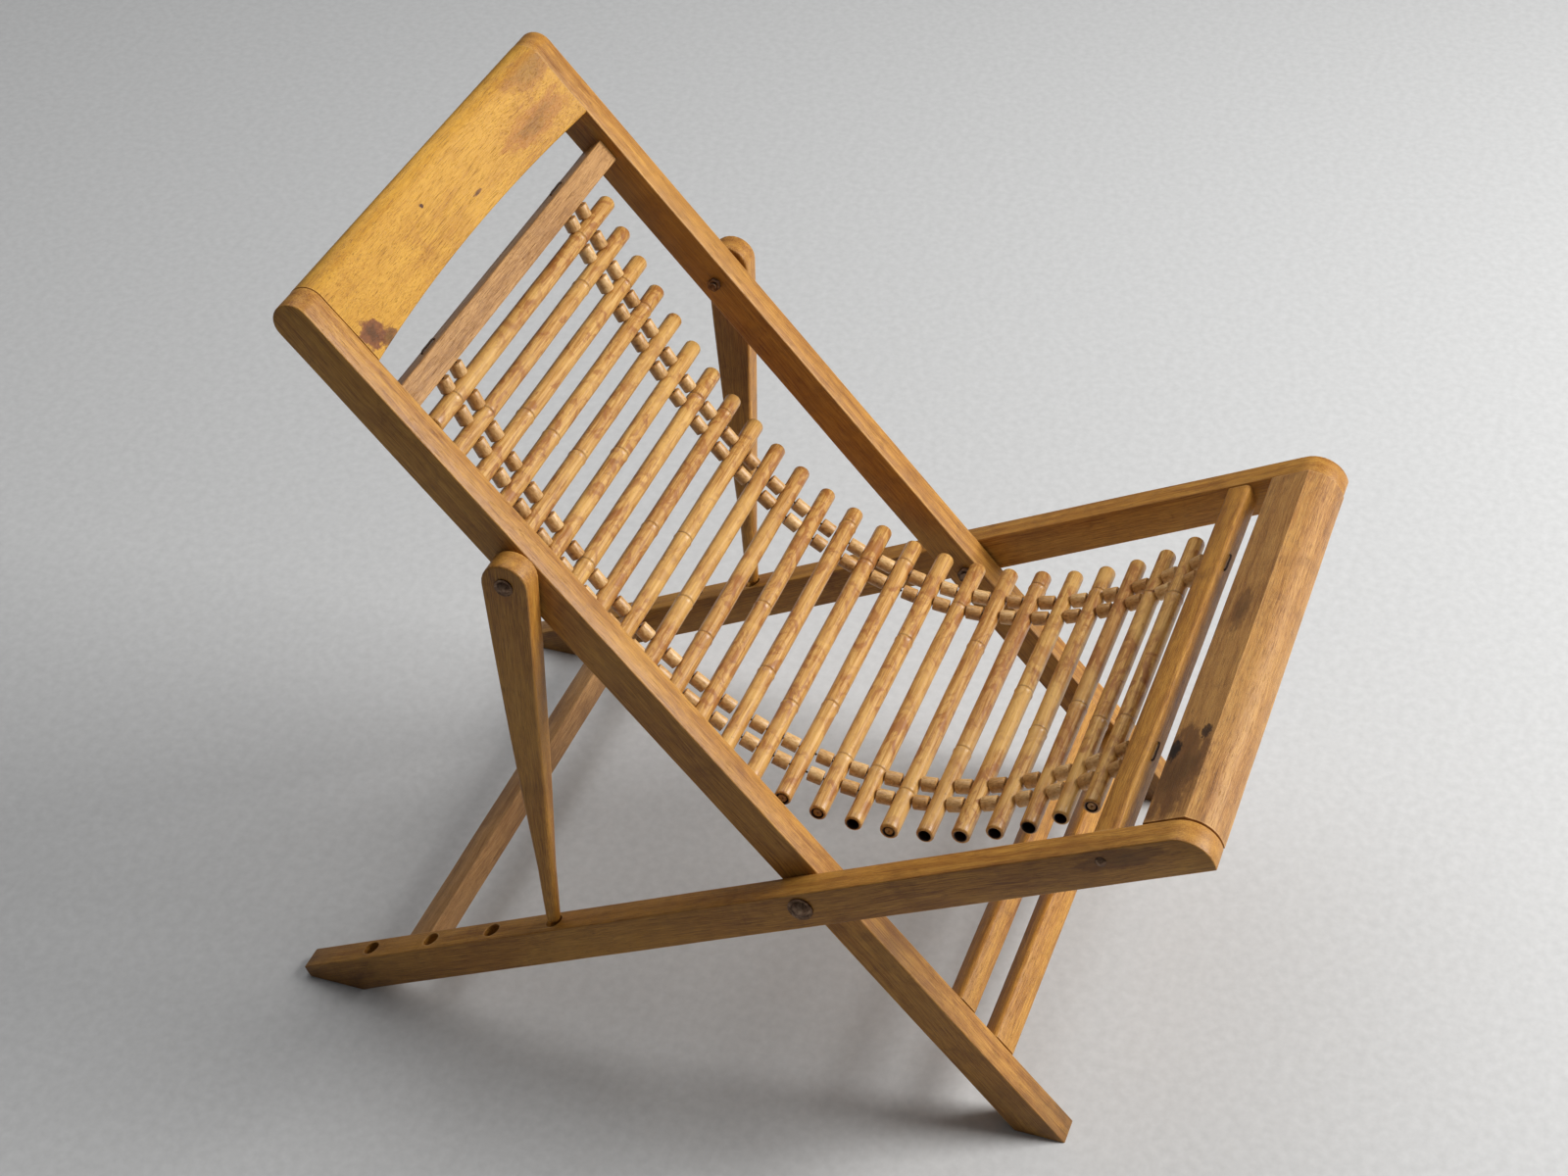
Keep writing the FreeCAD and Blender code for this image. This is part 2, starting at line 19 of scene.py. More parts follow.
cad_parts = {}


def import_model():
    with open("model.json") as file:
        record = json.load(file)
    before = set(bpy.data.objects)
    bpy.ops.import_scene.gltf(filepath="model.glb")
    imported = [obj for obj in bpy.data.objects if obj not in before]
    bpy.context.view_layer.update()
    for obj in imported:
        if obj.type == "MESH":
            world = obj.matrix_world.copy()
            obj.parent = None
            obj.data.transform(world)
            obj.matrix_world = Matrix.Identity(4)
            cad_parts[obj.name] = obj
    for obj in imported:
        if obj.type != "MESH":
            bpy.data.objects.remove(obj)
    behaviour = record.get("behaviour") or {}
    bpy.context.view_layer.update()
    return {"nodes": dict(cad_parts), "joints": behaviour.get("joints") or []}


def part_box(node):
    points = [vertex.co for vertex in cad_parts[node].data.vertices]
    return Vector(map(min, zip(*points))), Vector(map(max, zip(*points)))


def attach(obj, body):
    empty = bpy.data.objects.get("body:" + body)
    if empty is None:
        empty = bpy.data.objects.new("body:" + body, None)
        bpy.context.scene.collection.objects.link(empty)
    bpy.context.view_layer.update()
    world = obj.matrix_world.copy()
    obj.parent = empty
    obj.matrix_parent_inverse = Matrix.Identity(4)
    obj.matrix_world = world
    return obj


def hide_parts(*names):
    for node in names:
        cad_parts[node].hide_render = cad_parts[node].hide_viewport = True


LOG = logging.getLogger("deck_chair")
MM = 0.001
SIDES = {"left": -1, "right": 1}
ROWS = (-164.5, -137.0, 137.0, 164.5)  # where the four strings run across the sling, mm
LOW_DARKENING_HEIGHT = 0.075  # how far up the wood the darkening near the floor reaches, m
LOW_DARKENING = 0.7  # how strong it is at the floor
NOISE_SEED = 7  # vector noise takes its offsets from the clock unless it is seeded
X_AXIS = Vector((1, 0, 0))


def tone(red: float, green: float, blue: float) -> tuple[float, float, float, float]:
    """Turn a display colour into the linear colour that a shader reads.

    Args:
        red: Red from 0 to 255.
        green: Green from 0 to 255.
        blue: Blue from 0 to 255.

    Returns:
        The linear colour with an alpha of 1.
    """
    def linear(value: float) -> float:
        """Turn one channel to linear."""
        part = value / 255
        return part / 12.92 if part <= 0.04045 else ((part + 0.055) / 1.055) ** 2.4

    return linear(red), linear(green), linear(blue), 1.0


class Graph:
    """The shader nodes of one finish, ending in a Principled shader.

    Attributes:
        material: The material.
        tree: Its nodes.
        shader: Its Principled shader.
        place: The object coordinates, which the patterns read.
    """

    def __init__(self, name: str) -> None:
        """Start an empty material.

        Args:
            name: The material's name.
        """
        self.material = bpy.data.materials.new(name)
        self.material.use_nodes = True
        self.tree = self.material.node_tree
        self.tree.nodes.clear()
        self.shader = self.add("ShaderNodeBsdfPrincipled")
        out = self.add("ShaderNodeOutputMaterial")
        self.tree.links.new(self.shader.outputs[0], out.inputs[0])
        self.place = self.add("ShaderNodeTexCoord").outputs["Object"]

    def add(self, kind: str, inputs: dict | None = None, **settings: object) -> bpy.types.Node:
        """Add a node.

        Args:
            kind: The node's type.
            inputs: Values or sockets for its inputs, by name or number.
            **settings: The node's own properties.

        Returns:
            The new node.
        """
        node = self.tree.nodes.new(kind)
        for key, value in settings.items():
            setattr(node, key, value)
        for key, value in (inputs or {}).items():
            self.feed(node.inputs[key], value)
        return node

    def feed(self, socket: bpy.types.NodeSocket, value: object) -> None:
        """Link a socket to an input, or set the input's own value."""
        if isinstance(value, bpy.types.NodeSocket):
            self.tree.links.new(value, socket)
        else:
            socket.default_value = value

    def calc(self, operation: str, first: object, second: object) -> bpy.types.NodeSocket:
        """Do one sum, clamped to 0 and 1."""
        node = self.add("ShaderNodeMath", {0: first, 1: second}, operation=operation, use_clamp=True)
        return node.outputs[0]

    def blend(self, *parts: tuple[object, float]) -> bpy.types.NodeSocket:
        """Add up patterns, clamped to 0 and 1 at every step.

        Args:
            *parts: Each pattern with its weight.

        Returns:
            The sum.
        """
        weighed = [self.calc("MULTIPLY", pattern, weight) for pattern, weight in parts]
        total = weighed[0]
        for part in weighed[1:]:
            total = self.calc("ADD", total, part)
        return total

    def vector(self, operation: str, first: object, second: object) -> bpy.types.NodeSocket:
        """Do one sum on vectors; SCALE takes a number as its second value."""
        inputs = {0: first, "Scale" if operation == "SCALE" else 1: second}
        return self.add("ShaderNodeVectorMath", inputs, operation=operation).outputs[0]

    def stretch(self, vector: object, scale: tuple = (1.0, 1.0, 1.0), turn: tuple = (0.0, 0.0, 0.0),
                shift: tuple = (0.0, 0.0, 0.0)) -> bpy.types.NodeSocket:
        """Scale, turn and shift coordinates."""
        return self.add("ShaderNodeMapping", {
            "Vector": vector, "Location": shift, "Rotation": turn, "Scale": scale}).outputs[0]

    def ripple(self, vector: object, scale: float, detail: float, roughness: float,
               amount: float) -> bpy.types.NodeSocket:
        """Push coordinates about with noise.

        Args:
            vector: The coordinates.
            scale: The noise's scale.
            detail: Its octaves.
            roughness: How strong its fine octaves are.
            amount: How far it pushes.

        Returns:
            The new coordinates.
        """
        push = self.add("ShaderNodeTexNoise", {
            "Vector": vector, "Scale": scale, "Detail": detail, "Roughness": roughness}).outputs[1]
        centred = self.vector("SUBTRACT", push, (0.5, 0.5, 0.5))
        return self.vector("ADD", vector, self.vector("SCALE", centred, amount))

    def attribute(self, name: str) -> bpy.types.NodeSocket:
        """Read one of the piece's own attributes."""
        return self.add("ShaderNodeAttribute", attribute_name=name).outputs["Fac"]

    def noise(self, vector: object, scale: float, detail: float = 4.0,
              distortion: float = 0.0, roughness: float = 0.55) -> bpy.types.NodeSocket:
        """Add a noise pattern.

        Args:
            vector: The coordinates it reads.
            scale: Its scale.
            detail: Its octaves.
            distortion: How far it is warped.
            roughness: How strong its fine octaves are.

        Returns:
            The pattern, from 0 to 1.
        """
        node = self.add("ShaderNodeTexNoise", {
            "Vector": vector, "Scale": scale, "Detail": detail,
            "Distortion": distortion, "Roughness": roughness})
        return node.outputs[0]

    def ramp(self, value: object, stops: list[tuple[float, tuple]]) -> bpy.types.NodeSocket:
        """Turn a value into a colour.

        Args:
            value: The value from 0 to 1.
            stops: Each stop's place and colour, at least two.

        Returns:
            The colour.
        """
        node = self.add("ShaderNodeValToRGB", {0: value})
        line = node.color_ramp
        line.elements[0].position, line.elements[0].color = stops[0]
        line.elements[1].position, line.elements[1].color = stops[-1]
        for place, colour in stops[1:-1]:
            line.elements.new(place).color = colour
        return node.outputs[0]

    def span(self, value: object, low: float, high: float,
             new_low: float = 0.0, new_high: float = 1.0) -> bpy.types.NodeSocket:
        """Stretch a range of values to another, clamped.

        Args:
            value: The value.
            low: The value that gives new_low.
            high: The value that gives new_high.
            new_low: The lowest result.
            new_high: The highest result.

        Returns:
            The new value.
        """
        node = self.add("ShaderNodeMapRange", {0: value, 1: low, 2: high, 3: new_low, 4: new_high})
        return node.outputs[0]

    def mix(self, share: object, first: object, second: object) -> bpy.types.NodeSocket:
        """Mix two colours.

        Args:
            share: How much of the second colour.
            first: The first colour or socket.
            second: The second colour or socket.

        Returns:
            The mixed colour.
        """
        node = self.add("ShaderNodeMix", data_type="RGBA", blend_type="MIX")
        for number, value in ((0, share), (6, first), (7, second)):
            self.feed(node.inputs[number], value)
        return node.outputs[2]

    def tint(self, colour: object, pattern: object, low: float, high: float, most: float,
             shade: tuple) -> bpy.types.NodeSocket:
        """Shade a colour where a pattern is strong.

        Args:
            colour: The colour so far.
            pattern: The pattern.
            low: The pattern's value where the shade starts.
            high: Its value where the shade is at its strongest.
            most: How strong that is.
            shade: The shade's colour.

        Returns:
            The new colour.
        """
        return self.mix(self.span(pattern, low, high, 0.0, most), colour, shade)

    def worn_edges(self, radius: float) -> bpy.types.NodeSocket:
        """Find sharp outer edges and corners.

        Args:
            radius: How far from the edge the wear reaches, in metres.

        Returns:
            The wear, from 0 to 1.
        """
        soft = self.add("ShaderNodeBevel", {"Radius": radius}, samples=4)
        plain = self.add("ShaderNodeNewGeometry")
        same = self.add("ShaderNodeVectorMath", {0: soft.outputs[0], 1: plain.outputs["Normal"]},
                        operation="DOT_PRODUCT")
        return self.span(same.outputs["Value"], 0.985, 0.86)

    def bump(self, height: object, depth: float, strength: float) -> None:
        """Raise the surface by a height.

        Args:
            height: The height, from 0 to 1.
            depth: The height's size in metres.
            strength: How strongly it shows.
        """
        node = self.add("ShaderNodeBump", {"Height": height, "Distance": depth, "Strength": strength})
        self.feed(self.shader.inputs["Normal"], node.outputs[0])

    def varnish(self, coat: float, rough: float, specular: float = 0.5) -> None:
        """Lay a clear coat over the surface.

        Args:
            coat: The coat's weight.
            rough: The coat's roughness.
            specular: How much the surface below it shines.
        """
        self.shader.inputs["Coat Weight"].default_value = coat
        self.shader.inputs["Coat Roughness"].default_value = rough
        self.shader.inputs["Specular IOR Level"].default_value = specular

    def finish(self, colour: object, rough: object) -> bpy.types.Material:
        """Give the shader its colour and roughness.

        Args:
            colour: The colour.
            rough: The roughness.

        Returns:
            The finished material.
        """
        self.feed(self.shader.inputs["Base Color"], colour)
        self.feed(self.shader.inputs["Roughness"], rough)
        return self.material


class Run(Enum):
    """Which way the grain runs, as the turn that brings it to local Y."""

    SEAT = (math.radians(26.4), 0.0, 0.0)
    BACK = (math.radians(-48.3), 0.0, 0.0)
    PROP = (math.radians(-88.0), 0.0, 0.0)
    ACROSS = (0.0, 0.0, math.radians(90.0))


@dataclass(frozen=True)
class Mark:
    """A knot or a stain in the wood.

    Attributes:
        centre: Its centre in the chair's frame, in metres.
        reach: Its radius along the grain and across, in metres.
        colour: Its colour.
        strength: How dark it is.
    """

    centre: tuple[float, float, float]
    reach: tuple[float, float]
    colour: tuple[float, float, float, float]
    strength: float = 0.8


@dataclass(frozen=True)
class WoodFinish:
    """Varnished wood with grain, pores, worn edges and darkening near the floor.

    Attributes:
        name: The material's name.
        run: Which way its grain runs.
        dark: The colour of the dark grain.
        mid: The colour between.
        light: The colour of the pale grain.
        worn: The colour where varnish has gone from the edges.
        wear: How much of the edges is worn.
        shift: Moves the pattern, so that no two pieces match.
        marks: Knots and stains.
    """

    name: str
    run: Run
    dark: tuple = tone(116, 70, 26)
    mid: tuple = tone(166, 110, 42)
    light: tuple = tone(200, 146, 64)
    worn: tuple = tone(218, 172, 112)
    wear: float = 0.75
    shift: float = 0.0
    marks: tuple[Mark, ...] = ()

    def material(self) -> bpy.types.Material:
        """Build the material.

        Returns:
            The finished material.
        """
        graph = Graph(self.name)
        turned = graph.stretch(graph.place, turn=self.run.value,
                               shift=(self.shift, self.shift * 1.7, self.shift * 0.6))
        bent = graph.ripple(turned, scale=5.5, detail=2.0, roughness=0.5, amount=0.012)
        lines = graph.stretch(bent, (15.0, 1.0, 15.0))
        hairs = graph.stretch(bent, (42.0, 1.0, 42.0))
        broad = graph.noise(lines, 9.0, detail=6.0, distortion=0.4, roughness=0.62)
        fine = graph.noise(hairs, 24.0, detail=5.0, distortion=0.2, roughness=0.75)
        rings = graph.add("ShaderNodeTexWave", {
            "Vector": lines, "Scale": 1.3, "Distortion": 7.0, "Detail": 4.0,
            "Detail Scale": 1.0}, bands_direction="X").outputs["Fac"]
        pale = tuple(min(1.0, part * 1.14) for part in self.light)
        colour = graph.ramp(graph.blend((broad, 0.24), (fine, 0.68), (rings, 0.06)),
                            [(0.33, self.dark), (0.45, self.mid), (0.58, self.light), (0.74, pale)])

        patches = graph.noise(turned, 16.0, detail=6.0, distortion=0.9, roughness=0.62)
        blots = graph.noise(turned, 60.0, detail=6.0, distortion=0.7, roughness=0.7)
        sunny = graph.noise(turned, 5.1, distortion=0.5)
        flecks = graph.noise(hairs, 9.0, detail=6.0, distortion=1.4, roughness=0.7)
        pores = graph.noise(hairs, 55.0, detail=2.0, roughness=0.4)
        colour = graph.tint(colour, patches, 0.50, 0.72, 0.46, self.dark)
        colour = graph.tint(colour, blots, 0.54, 0.70, 0.34, self.dark)
        colour = graph.tint(colour, sunny, 0.48, 0.68, 0.45, self.light)
        colour = graph.tint(colour, flecks, 0.57, 0.68, 0.40, tone(112, 66, 26))
        pits = graph.calc("MULTIPLY", graph.span(pores, 0.60, 0.70), 0.5)
        colour = graph.mix(pits, colour, tone(84, 48, 20))
        for mark in self.marks:
            colour = self.stain(graph, colour, mark)

        scuffs = graph.noise(turned, 34.0, detail=5.0, distortion=0.4, roughness=0.65)
        colour = graph.mix(self.bare_edges(graph, scuffs), colour, self.worn)
        colour = graph.mix(self.darken_near_floor(graph, scuffs), colour, tone(58, 42, 30))
        graph.varnish(0.10, 0.26, specular=0.36)
        graph.bump(graph.calc("SUBTRACT", graph.blend((fine, 0.5), (broad, 0.4)), pits), 0.0009, 0.55)
        dull = graph.blend((fine, 0.5), (scuffs, 0.5))
        return graph.finish(colour, graph.span(dull, 0.3, 0.7, 0.34, 0.58))

    def bare_edges(self, graph: Graph, scuffs: object) -> bpy.types.NodeSocket:
        """Find where the varnish has gone from the edges, more so where they are scuffed."""
        patchy = graph.span(scuffs, 0.38, 0.60, 0.15, 1.0)
        return graph.calc("MULTIPLY", graph.calc("MULTIPLY", graph.worn_edges(0.0032), patchy), self.wear)

    def darken_near_floor(self, graph: Graph, scuffs: object) -> bpy.types.NodeSocket:
        """Find how much the wood darkens close to the floor.

        Args:
            graph: The graph to add to.
            scuffs: The pattern that breaks the darkening up.

        Returns:
            The darkening, from 0 to 1.
        """
        height = graph.add("ShaderNodeSeparateXYZ", {0: graph.place}).outputs["Z"]
        low = graph.span(height, LOW_DARKENING_HEIGHT, 0.0, 0.0, LOW_DARKENING)
        return graph.calc("MULTIPLY", low, graph.span(scuffs, 0.35, 0.65, 0.4, 1.0))

    def stain(self, graph: Graph, colour: object, mark: Mark) -> object:
        """Darken the wood over a ragged knot or stain, most in its middle.

        Args:
            graph: The graph to add to.
            colour: The colour so far.
            mark: The knot or stain.

        Returns:
            The new colour.
        """
        along, across = mark.reach
        turned = graph.stretch(graph.vector("SUBTRACT", graph.place, mark.centre), turn=self.run.value)
        scaled = graph.stretch(turned, (1 / across, 1 / along, 1 / across))
        shaped = graph.ripple(scaled, scale=1.5, detail=7.0, roughness=0.68, amount=2.2)
        away = graph.add("ShaderNodeVectorMath", {0: shaped}, operation="LENGTH").outputs["Value"]
        deep = tuple(part * 0.45 for part in mark.colour[:3]) + (1.0,)
        shade = graph.mix(graph.span(away, 0.62, 0.30), mark.colour, deep)
        inside = graph.calc("MULTIPLY", graph.span(away, 1.0, 0.72), mark.strength)
        return graph.mix(inside, colour, shade)


@dataclass(frozen=True)
class BambooFinish:
    """Lacquered cane: long fibres, scorched patches, dark rings at the nodes, painted shade in its hollow
    ends.
    """

    name: str = "bamboo_cane"

    def material(self) -> bpy.types.Material:
        """Build the material.

        Returns:
            The finished material.
        """
        graph = Graph(self.name)
        place = graph.place
        streak = graph.noise(graph.stretch(place, (1.0, 26.0, 26.0)), 22.0,
                             detail=5.0, distortion=0.3, roughness=0.65)
        pale = graph.ramp(streak, [(0.32, tone(160, 108, 46)), (0.50, tone(198, 148, 76)),
                                   (0.70, tone(224, 182, 108))])
        brown = graph.ramp(streak, [(0.32, tone(136, 86, 40)), (0.50, tone(174, 122, 62)),
                                    (0.70, tone(200, 154, 88))])
        patches = graph.noise(graph.stretch(place, (1.0, 1.7, 1.7)), 34.0,
                              detail=5.0, distortion=1.6, roughness=0.6)
        scorch = graph.noise(place, 58.0, distortion=1.0, roughness=0.6)
        blush = graph.noise(place, 12.0, detail=3.0, distortion=0.6)
        speck = graph.noise(place, 260.0, detail=2.0)
        colour = graph.mix(graph.attribute("own_tone"), pale, brown)
        colour = graph.tint(colour, patches, 0.49, 0.60, 0.78, tone(150, 90, 38))
        colour = graph.tint(colour, scorch, 0.60, 0.72, 0.55, tone(122, 68, 32))
        colour = graph.tint(colour, blush, 0.50, 0.64, 0.5, tone(218, 174, 98))
        colour = graph.tint(colour, speck, 0.66, 0.76, 0.45, tone(94, 52, 24))
        rings = graph.calc("MULTIPLY", graph.attribute("ring"), 0.85)
        colour = graph.mix(rings, colour, tone(84, 46, 20))
        # Painted shade: darkens the hollow ends, the groove round the pith and the pit at its centre.
        colour = graph.mix(graph.attribute("bore_shade"), colour, tone(38, 22, 12))
        graph.varnish(0.16, 0.22)
        graph.bump(streak, 0.0005, 0.5)
        return graph.finish(colour, graph.span(streak, 0.3, 0.7, 0.30, 0.52))


@dataclass(frozen=True)
class BeadFinish:
    """Turned wooden bead: paler than the canes, with painted shade where the string goes in."""

    name: str = "turned_bead"

    def material(self) -> bpy.types.Material:
        """Build the material.

        Returns:
            The finished material.
        """
        graph = Graph(self.name)
        grain = graph.noise(graph.stretch(graph.place, (3.0, 1.0, 1.0)), 240.0, distortion=0.5)
        light = graph.ramp(grain, [(0.3, tone(184, 138, 82)), (0.5, tone(218, 176, 116)),
                                   (0.75, tone(238, 206, 152))])
        brown = graph.ramp(grain, [(0.3, tone(148, 100, 50)), (0.5, tone(188, 140, 80)),
                                   (0.75, tone(212, 168, 108))])
        colour = graph.mix(graph.attribute("own_tone"), light, brown)
        # Painted shade in the bore and round its mouth, where the string goes in.
        colour = graph.mix(graph.attribute("bore_shade"), colour, tone(60, 34, 18))
        graph.varnish(0.18, 0.3)
        graph.bump(grain, 0.0003, 0.4)
        return graph.finish(colour, graph.span(grain, 0.3, 0.7, 0.36, 0.55))


@dataclass(frozen=True)
class StringFinish:
    """Dark twisted cord, dull with age."""

    name: str = "twisted_string"

    def material(self) -> bpy.types.Material:
        """Build the material.

        Returns:
            The finished material.
        """
        graph = Graph(self.name)
        twist = graph.add("ShaderNodeTexWave", {"Vector": graph.place, "Scale": 260.0, "Distortion": 1.5},
                          bands_direction="DIAGONAL").outputs["Fac"]
        fuzz = graph.noise(graph.place, 900.0, detail=3.0)
        colour = graph.ramp(twist, [(0.2, tone(34, 22, 14)), (0.8, tone(86, 60, 40))])
        colour = graph.tint(colour, fuzz, 0.5, 0.8, 0.4, tone(120, 92, 64))
        graph.bump(twist, 0.0003, 0.8)
        return graph.finish(colour, graph.span(fuzz, 0.2, 0.8, 0.7, 0.95))


@dataclass(frozen=True)
class BoltFinish:
    """Aged steel, browned by dirt and old varnish."""

    name: str = "aged_bolt"

    def material(self) -> bpy.types.Material:
        """Build the material.

        Returns:
            The finished material.
        """
        graph = Graph(self.name)
        dirt = graph.noise(graph.place, 150.0, detail=5.0, distortion=0.6, roughness=0.65)
        rust = graph.noise(graph.place, 420.0)
        colour = graph.ramp(dirt, [(0.3, tone(58, 42, 32)), (0.52, tone(118, 92, 72)),
                                   (0.75, tone(158, 134, 112))])
        colour = graph.tint(colour, rust, 0.55, 0.7, 0.6, tone(108, 58, 30))
        graph.feed(graph.shader.inputs["Metallic"], graph.span(rust, 0.5, 0.7, 0.9, 0.25))
        graph.bump(dirt, 0.0004, 0.5)
        return graph.finish(colour, graph.span(dirt, 0.3, 0.7, 0.62, 0.36))


@dataclass(frozen=True)
class FloorFinish:
    """Plain pale floor with the faintest mottle."""

    name: str = "pale_floor"

    def material(self) -> bpy.types.Material:
        """Build the material.

        Returns:
            The finished material.
        """
        graph = Graph(self.name)
        mottle = graph.noise(graph.place, 90.0)
        colour = graph.ramp(mottle, [(0.3, tone(196, 197, 198)), (0.7, tone(206, 207, 208))])
        return graph.finish(colour, 0.7)


@dataclass
class Plan:
    """Where the chair's two wooden frames lie.

    Attributes:
        pivot: The point midway between the pivot bolts, in metres.
        seat_lean: How far the seat frame leans from level, in radians.
        back_lean: How far the back frame leans from level, in radians.
    """

    pivot: Vector
    seat_lean: float = math.radians(26.4)
    back_lean: float = math.radians(48.3)

    def seat(self) -> Matrix:
        """Give the seat frame's matrix: local Y runs rearward and down the rails."""
        return Matrix.Translation(self.pivot) @ Matrix.Rotation(-self.seat_lean, 4, "X")

    def back(self) -> Matrix:
        """Give the back frame's matrix: local Y runs up the rails."""
        return Matrix.Translation(self.pivot) @ Matrix.Rotation(self.back_lean, 4, "X")

    def in_seat(self, x: float, along: float, above: float) -> Vector:
        """Turn millimetres towards the seat's front, and square to it, into a point."""
        return self.seat() @ Vector((x * MM, -along * MM, above * MM))

    def in_back(self, x: float, along: float, above: float) -> Vector:
        """Turn millimetres towards the back's top, and square to it, into a point."""
        return self.back() @ Vector((x * MM, along * MM, above * MM))


def make_piece(bm: bmesh.types.BMesh, name: str, material: bpy.types.Material,
               nodes: list[str], body: str, sharp: float = 35.0) -> bpy.types.Object:
    """Turn a finished bmesh into a piece that stands for CAD nodes and rides on a body.

    Args:
        bm: The mesh, in the chair's frame; it is freed.
        name: The piece's name.
        material: Its material.
        nodes: The CAD nodes that it stands for, or none.
        body: The body that it rides on.
        sharp: The angle above which an edge stays sharp, in degrees.

    Returns:
        The piece.
    """
    mesh = bpy.data.meshes.new(name)
    for face in bm.faces:
        face.smooth = True
    bm.to_mesh(mesh)
    bm.free()
    mesh.set_sharp_from_angle(angle=math.radians(sharp))
    mesh.materials.append(material)
    piece = bpy.data.objects.new(name, mesh)
    bpy.context.scene.collection.objects.link(piece)
    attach(piece, body)
    if nodes:
        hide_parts(*nodes)
    LOG.info("%s: %d faces", name, len(mesh.polygons))
    return piece


def dress(node: bpy.types.Object, material: bpy.types.Material) -> None:
    """Give one of the CAD's own pieces a material."""
    node.data.materials.clear()
    node.data.materials.append(material)


def slice_along(bm: bmesh.types.BMesh, axis: Vector, low: float, high: float, step: float) -> None:
    """Cut a mesh across an axis at even steps, so that it can be worn unevenly.

    Args:
        bm: The mesh.
        axis: The axis, of length 1.
        low: The first place along it.
        high: The last place along it.
        step: The distance between cuts.
    """
    place = low + step
    while place < high - step / 2:
        geom = bm.verts[:] + bm.edges[:] + bm.faces[:]
        bmesh.ops.bisect_plane(bm, geom=geom, dist=1e-6, plane_co=axis * place, plane_no=axis)
        place += step


def ease(bm: bmesh.types.BMesh, edges: list[bmesh.types.BMEdge], offset: float) -> None:
    """Round some of a mesh's edges.

    Args:
        bm: The mesh.
        edges: The edges.
        offset: The rounding's width, mm.
    """
    bmesh.ops.bevel(bm, geom=edges, offset=offset * MM, segments=3, profile=0.5,
                    affect="EDGES", material=-1, clamp_overlap=False)


def sharp_edges(bm: bmesh.types.BMesh) -> list[bmesh.types.BMEdge]:
    """List the edges where two faces meet at more than 38 degrees."""
    return [edge for edge in bm.edges
            if len(edge.link_faces) == 2 and edge.calc_face_angle(0) > math.radians(38.0)]


def cross_edges(bm: bmesh.types.BMesh, y: float) -> list[bmesh.types.BMEdge]:
    """List the long edges that run across the chair at a place along local Y.

    Args:
        bm: The mesh, still in its local frame.
        y: The place, mm.

    Returns:
        The edges.
    """
    return [edge for edge in bm.edges if all(abs(v.co.y - y * MM) < 1e-6 for v in edge.verts)
            and abs(edge.verts[0].co.x - edge.verts[1].co.x) > 0.1]


def wear_in(bm: bmesh.types.BMesh, amount: float, seed: float, keep_x: float = 1.0) -> None:
    """Wear a mesh inwards a little and unevenly, so that it isn't dead straight.

    Args:
        bm: The mesh.
        amount: The most that a vertex moves, in metres.
        seed: Moves the pattern.
        keep_x: Vertices this far out or further stay, so that an end stays flat.
    """
    bm.normal_update()
    for vert in bm.verts:
        if abs(vert.co.x) < keep_x and vert.co.z > amount:
            share = 0.5 + 0.5 * noise.noise(vert.co * 14.0 + Vector((seed, seed * 2.3, -seed)))
            vert.co -= vert.normal * amount * share


class RailEnd(Enum):
    """How a rail's top end is rounded."""

    HALF_ROUND = "half round"
    QUARTER_ROUND = "quarter round"


@dataclass
class Rail:
    """A straight rail with one rounded end, trimmed level at the floor.

    Attributes:
        outer: The outer face's distance from the chair's middle, mm.
        thick: The rail's thickness across the chair, mm.
        depth: Its depth square to its run, mm.
        below: How much of that lies below the pivot's line, mm.
        flat_end: Where the square end is along local Y, mm.
        round_end: Where the rounded end is along local Y, mm.
        end: How the rounded end is shaped.
        nose: The radius of a quarter-round end, mm.
        edge: How much its edges are rounded, mm.
    """

    outer: float
    thick: float
    depth: float
    below: float
    flat_end: float
    round_end: float
    end: RailEnd
    nose: float = 33.0
    edge: float = 1.7

    def outline(self) -> list[tuple[float, float]]:
        """List the corners of the rail's side face, in mm along and above.

        Returns:
            The corners, from the rounded end's top round to the square end's top.
        """
        top, low = self.depth - self.below, -self.below
        way = 1 if self.round_end > self.flat_end else -1
        if self.end is RailEnd.HALF_ROUND:
            return arc(self.round_end - way * self.depth / 2, (top + low) / 2, self.depth / 2,
                       way, math.pi, 14) + [(self.flat_end, low), (self.flat_end, top)]
        reach = math.acos((low + self.nose - top) / self.nose)
        return arc(self.round_end - way * self.nose, top - self.nose, self.nose,
                   way, reach, 12) + [(self.flat_end, low), (self.flat_end, top)]

    def build(self, place: Matrix, sign: int, seed: float) -> bmesh.types.BMesh:
        """Build the rail in the chair's frame.

        Args:
            place: The local frame's matrix.
            sign: -1 for the left rail and 1 for the right.
            seed: Moves the wear.

        Returns:
            The mesh.
        """
        start = self.outer * sign - (self.thick if sign > 0 else 0)
        bm = prism(self.outline(), start, start + self.thick)
        bmesh.ops.transform(bm, matrix=place, verts=bm.verts[:])
        geom = bm.verts[:] + bm.edges[:] + bm.faces[:]
        trimmed = bmesh.ops.bisect_plane(bm, geom=geom, dist=1e-6, plane_co=(0, 0, 0),
                                         plane_no=(0, 0, -1), clear_outer=True)["geom_cut"]
        rim = [item for item in trimmed if isinstance(item, bmesh.types.BMEdge)]
        if rim:
            bmesh.ops.holes_fill(bm, edges=rim, sides=0)
        bmesh.ops.recalc_face_normals(bm, faces=bm.faces[:])
        ease(bm, sharp_edges(bm), self.edge)
        axis = place.to_3x3() @ Vector((0, 1, 0))
        base = place.translation.dot(axis)
        low, high = sorted((self.flat_end, self.round_end))
        slice_along(bm, axis, base + low * MM, base + high * MM, step=0.035)
        wear_in(bm, amount=0.0005, seed=seed)
        return bm


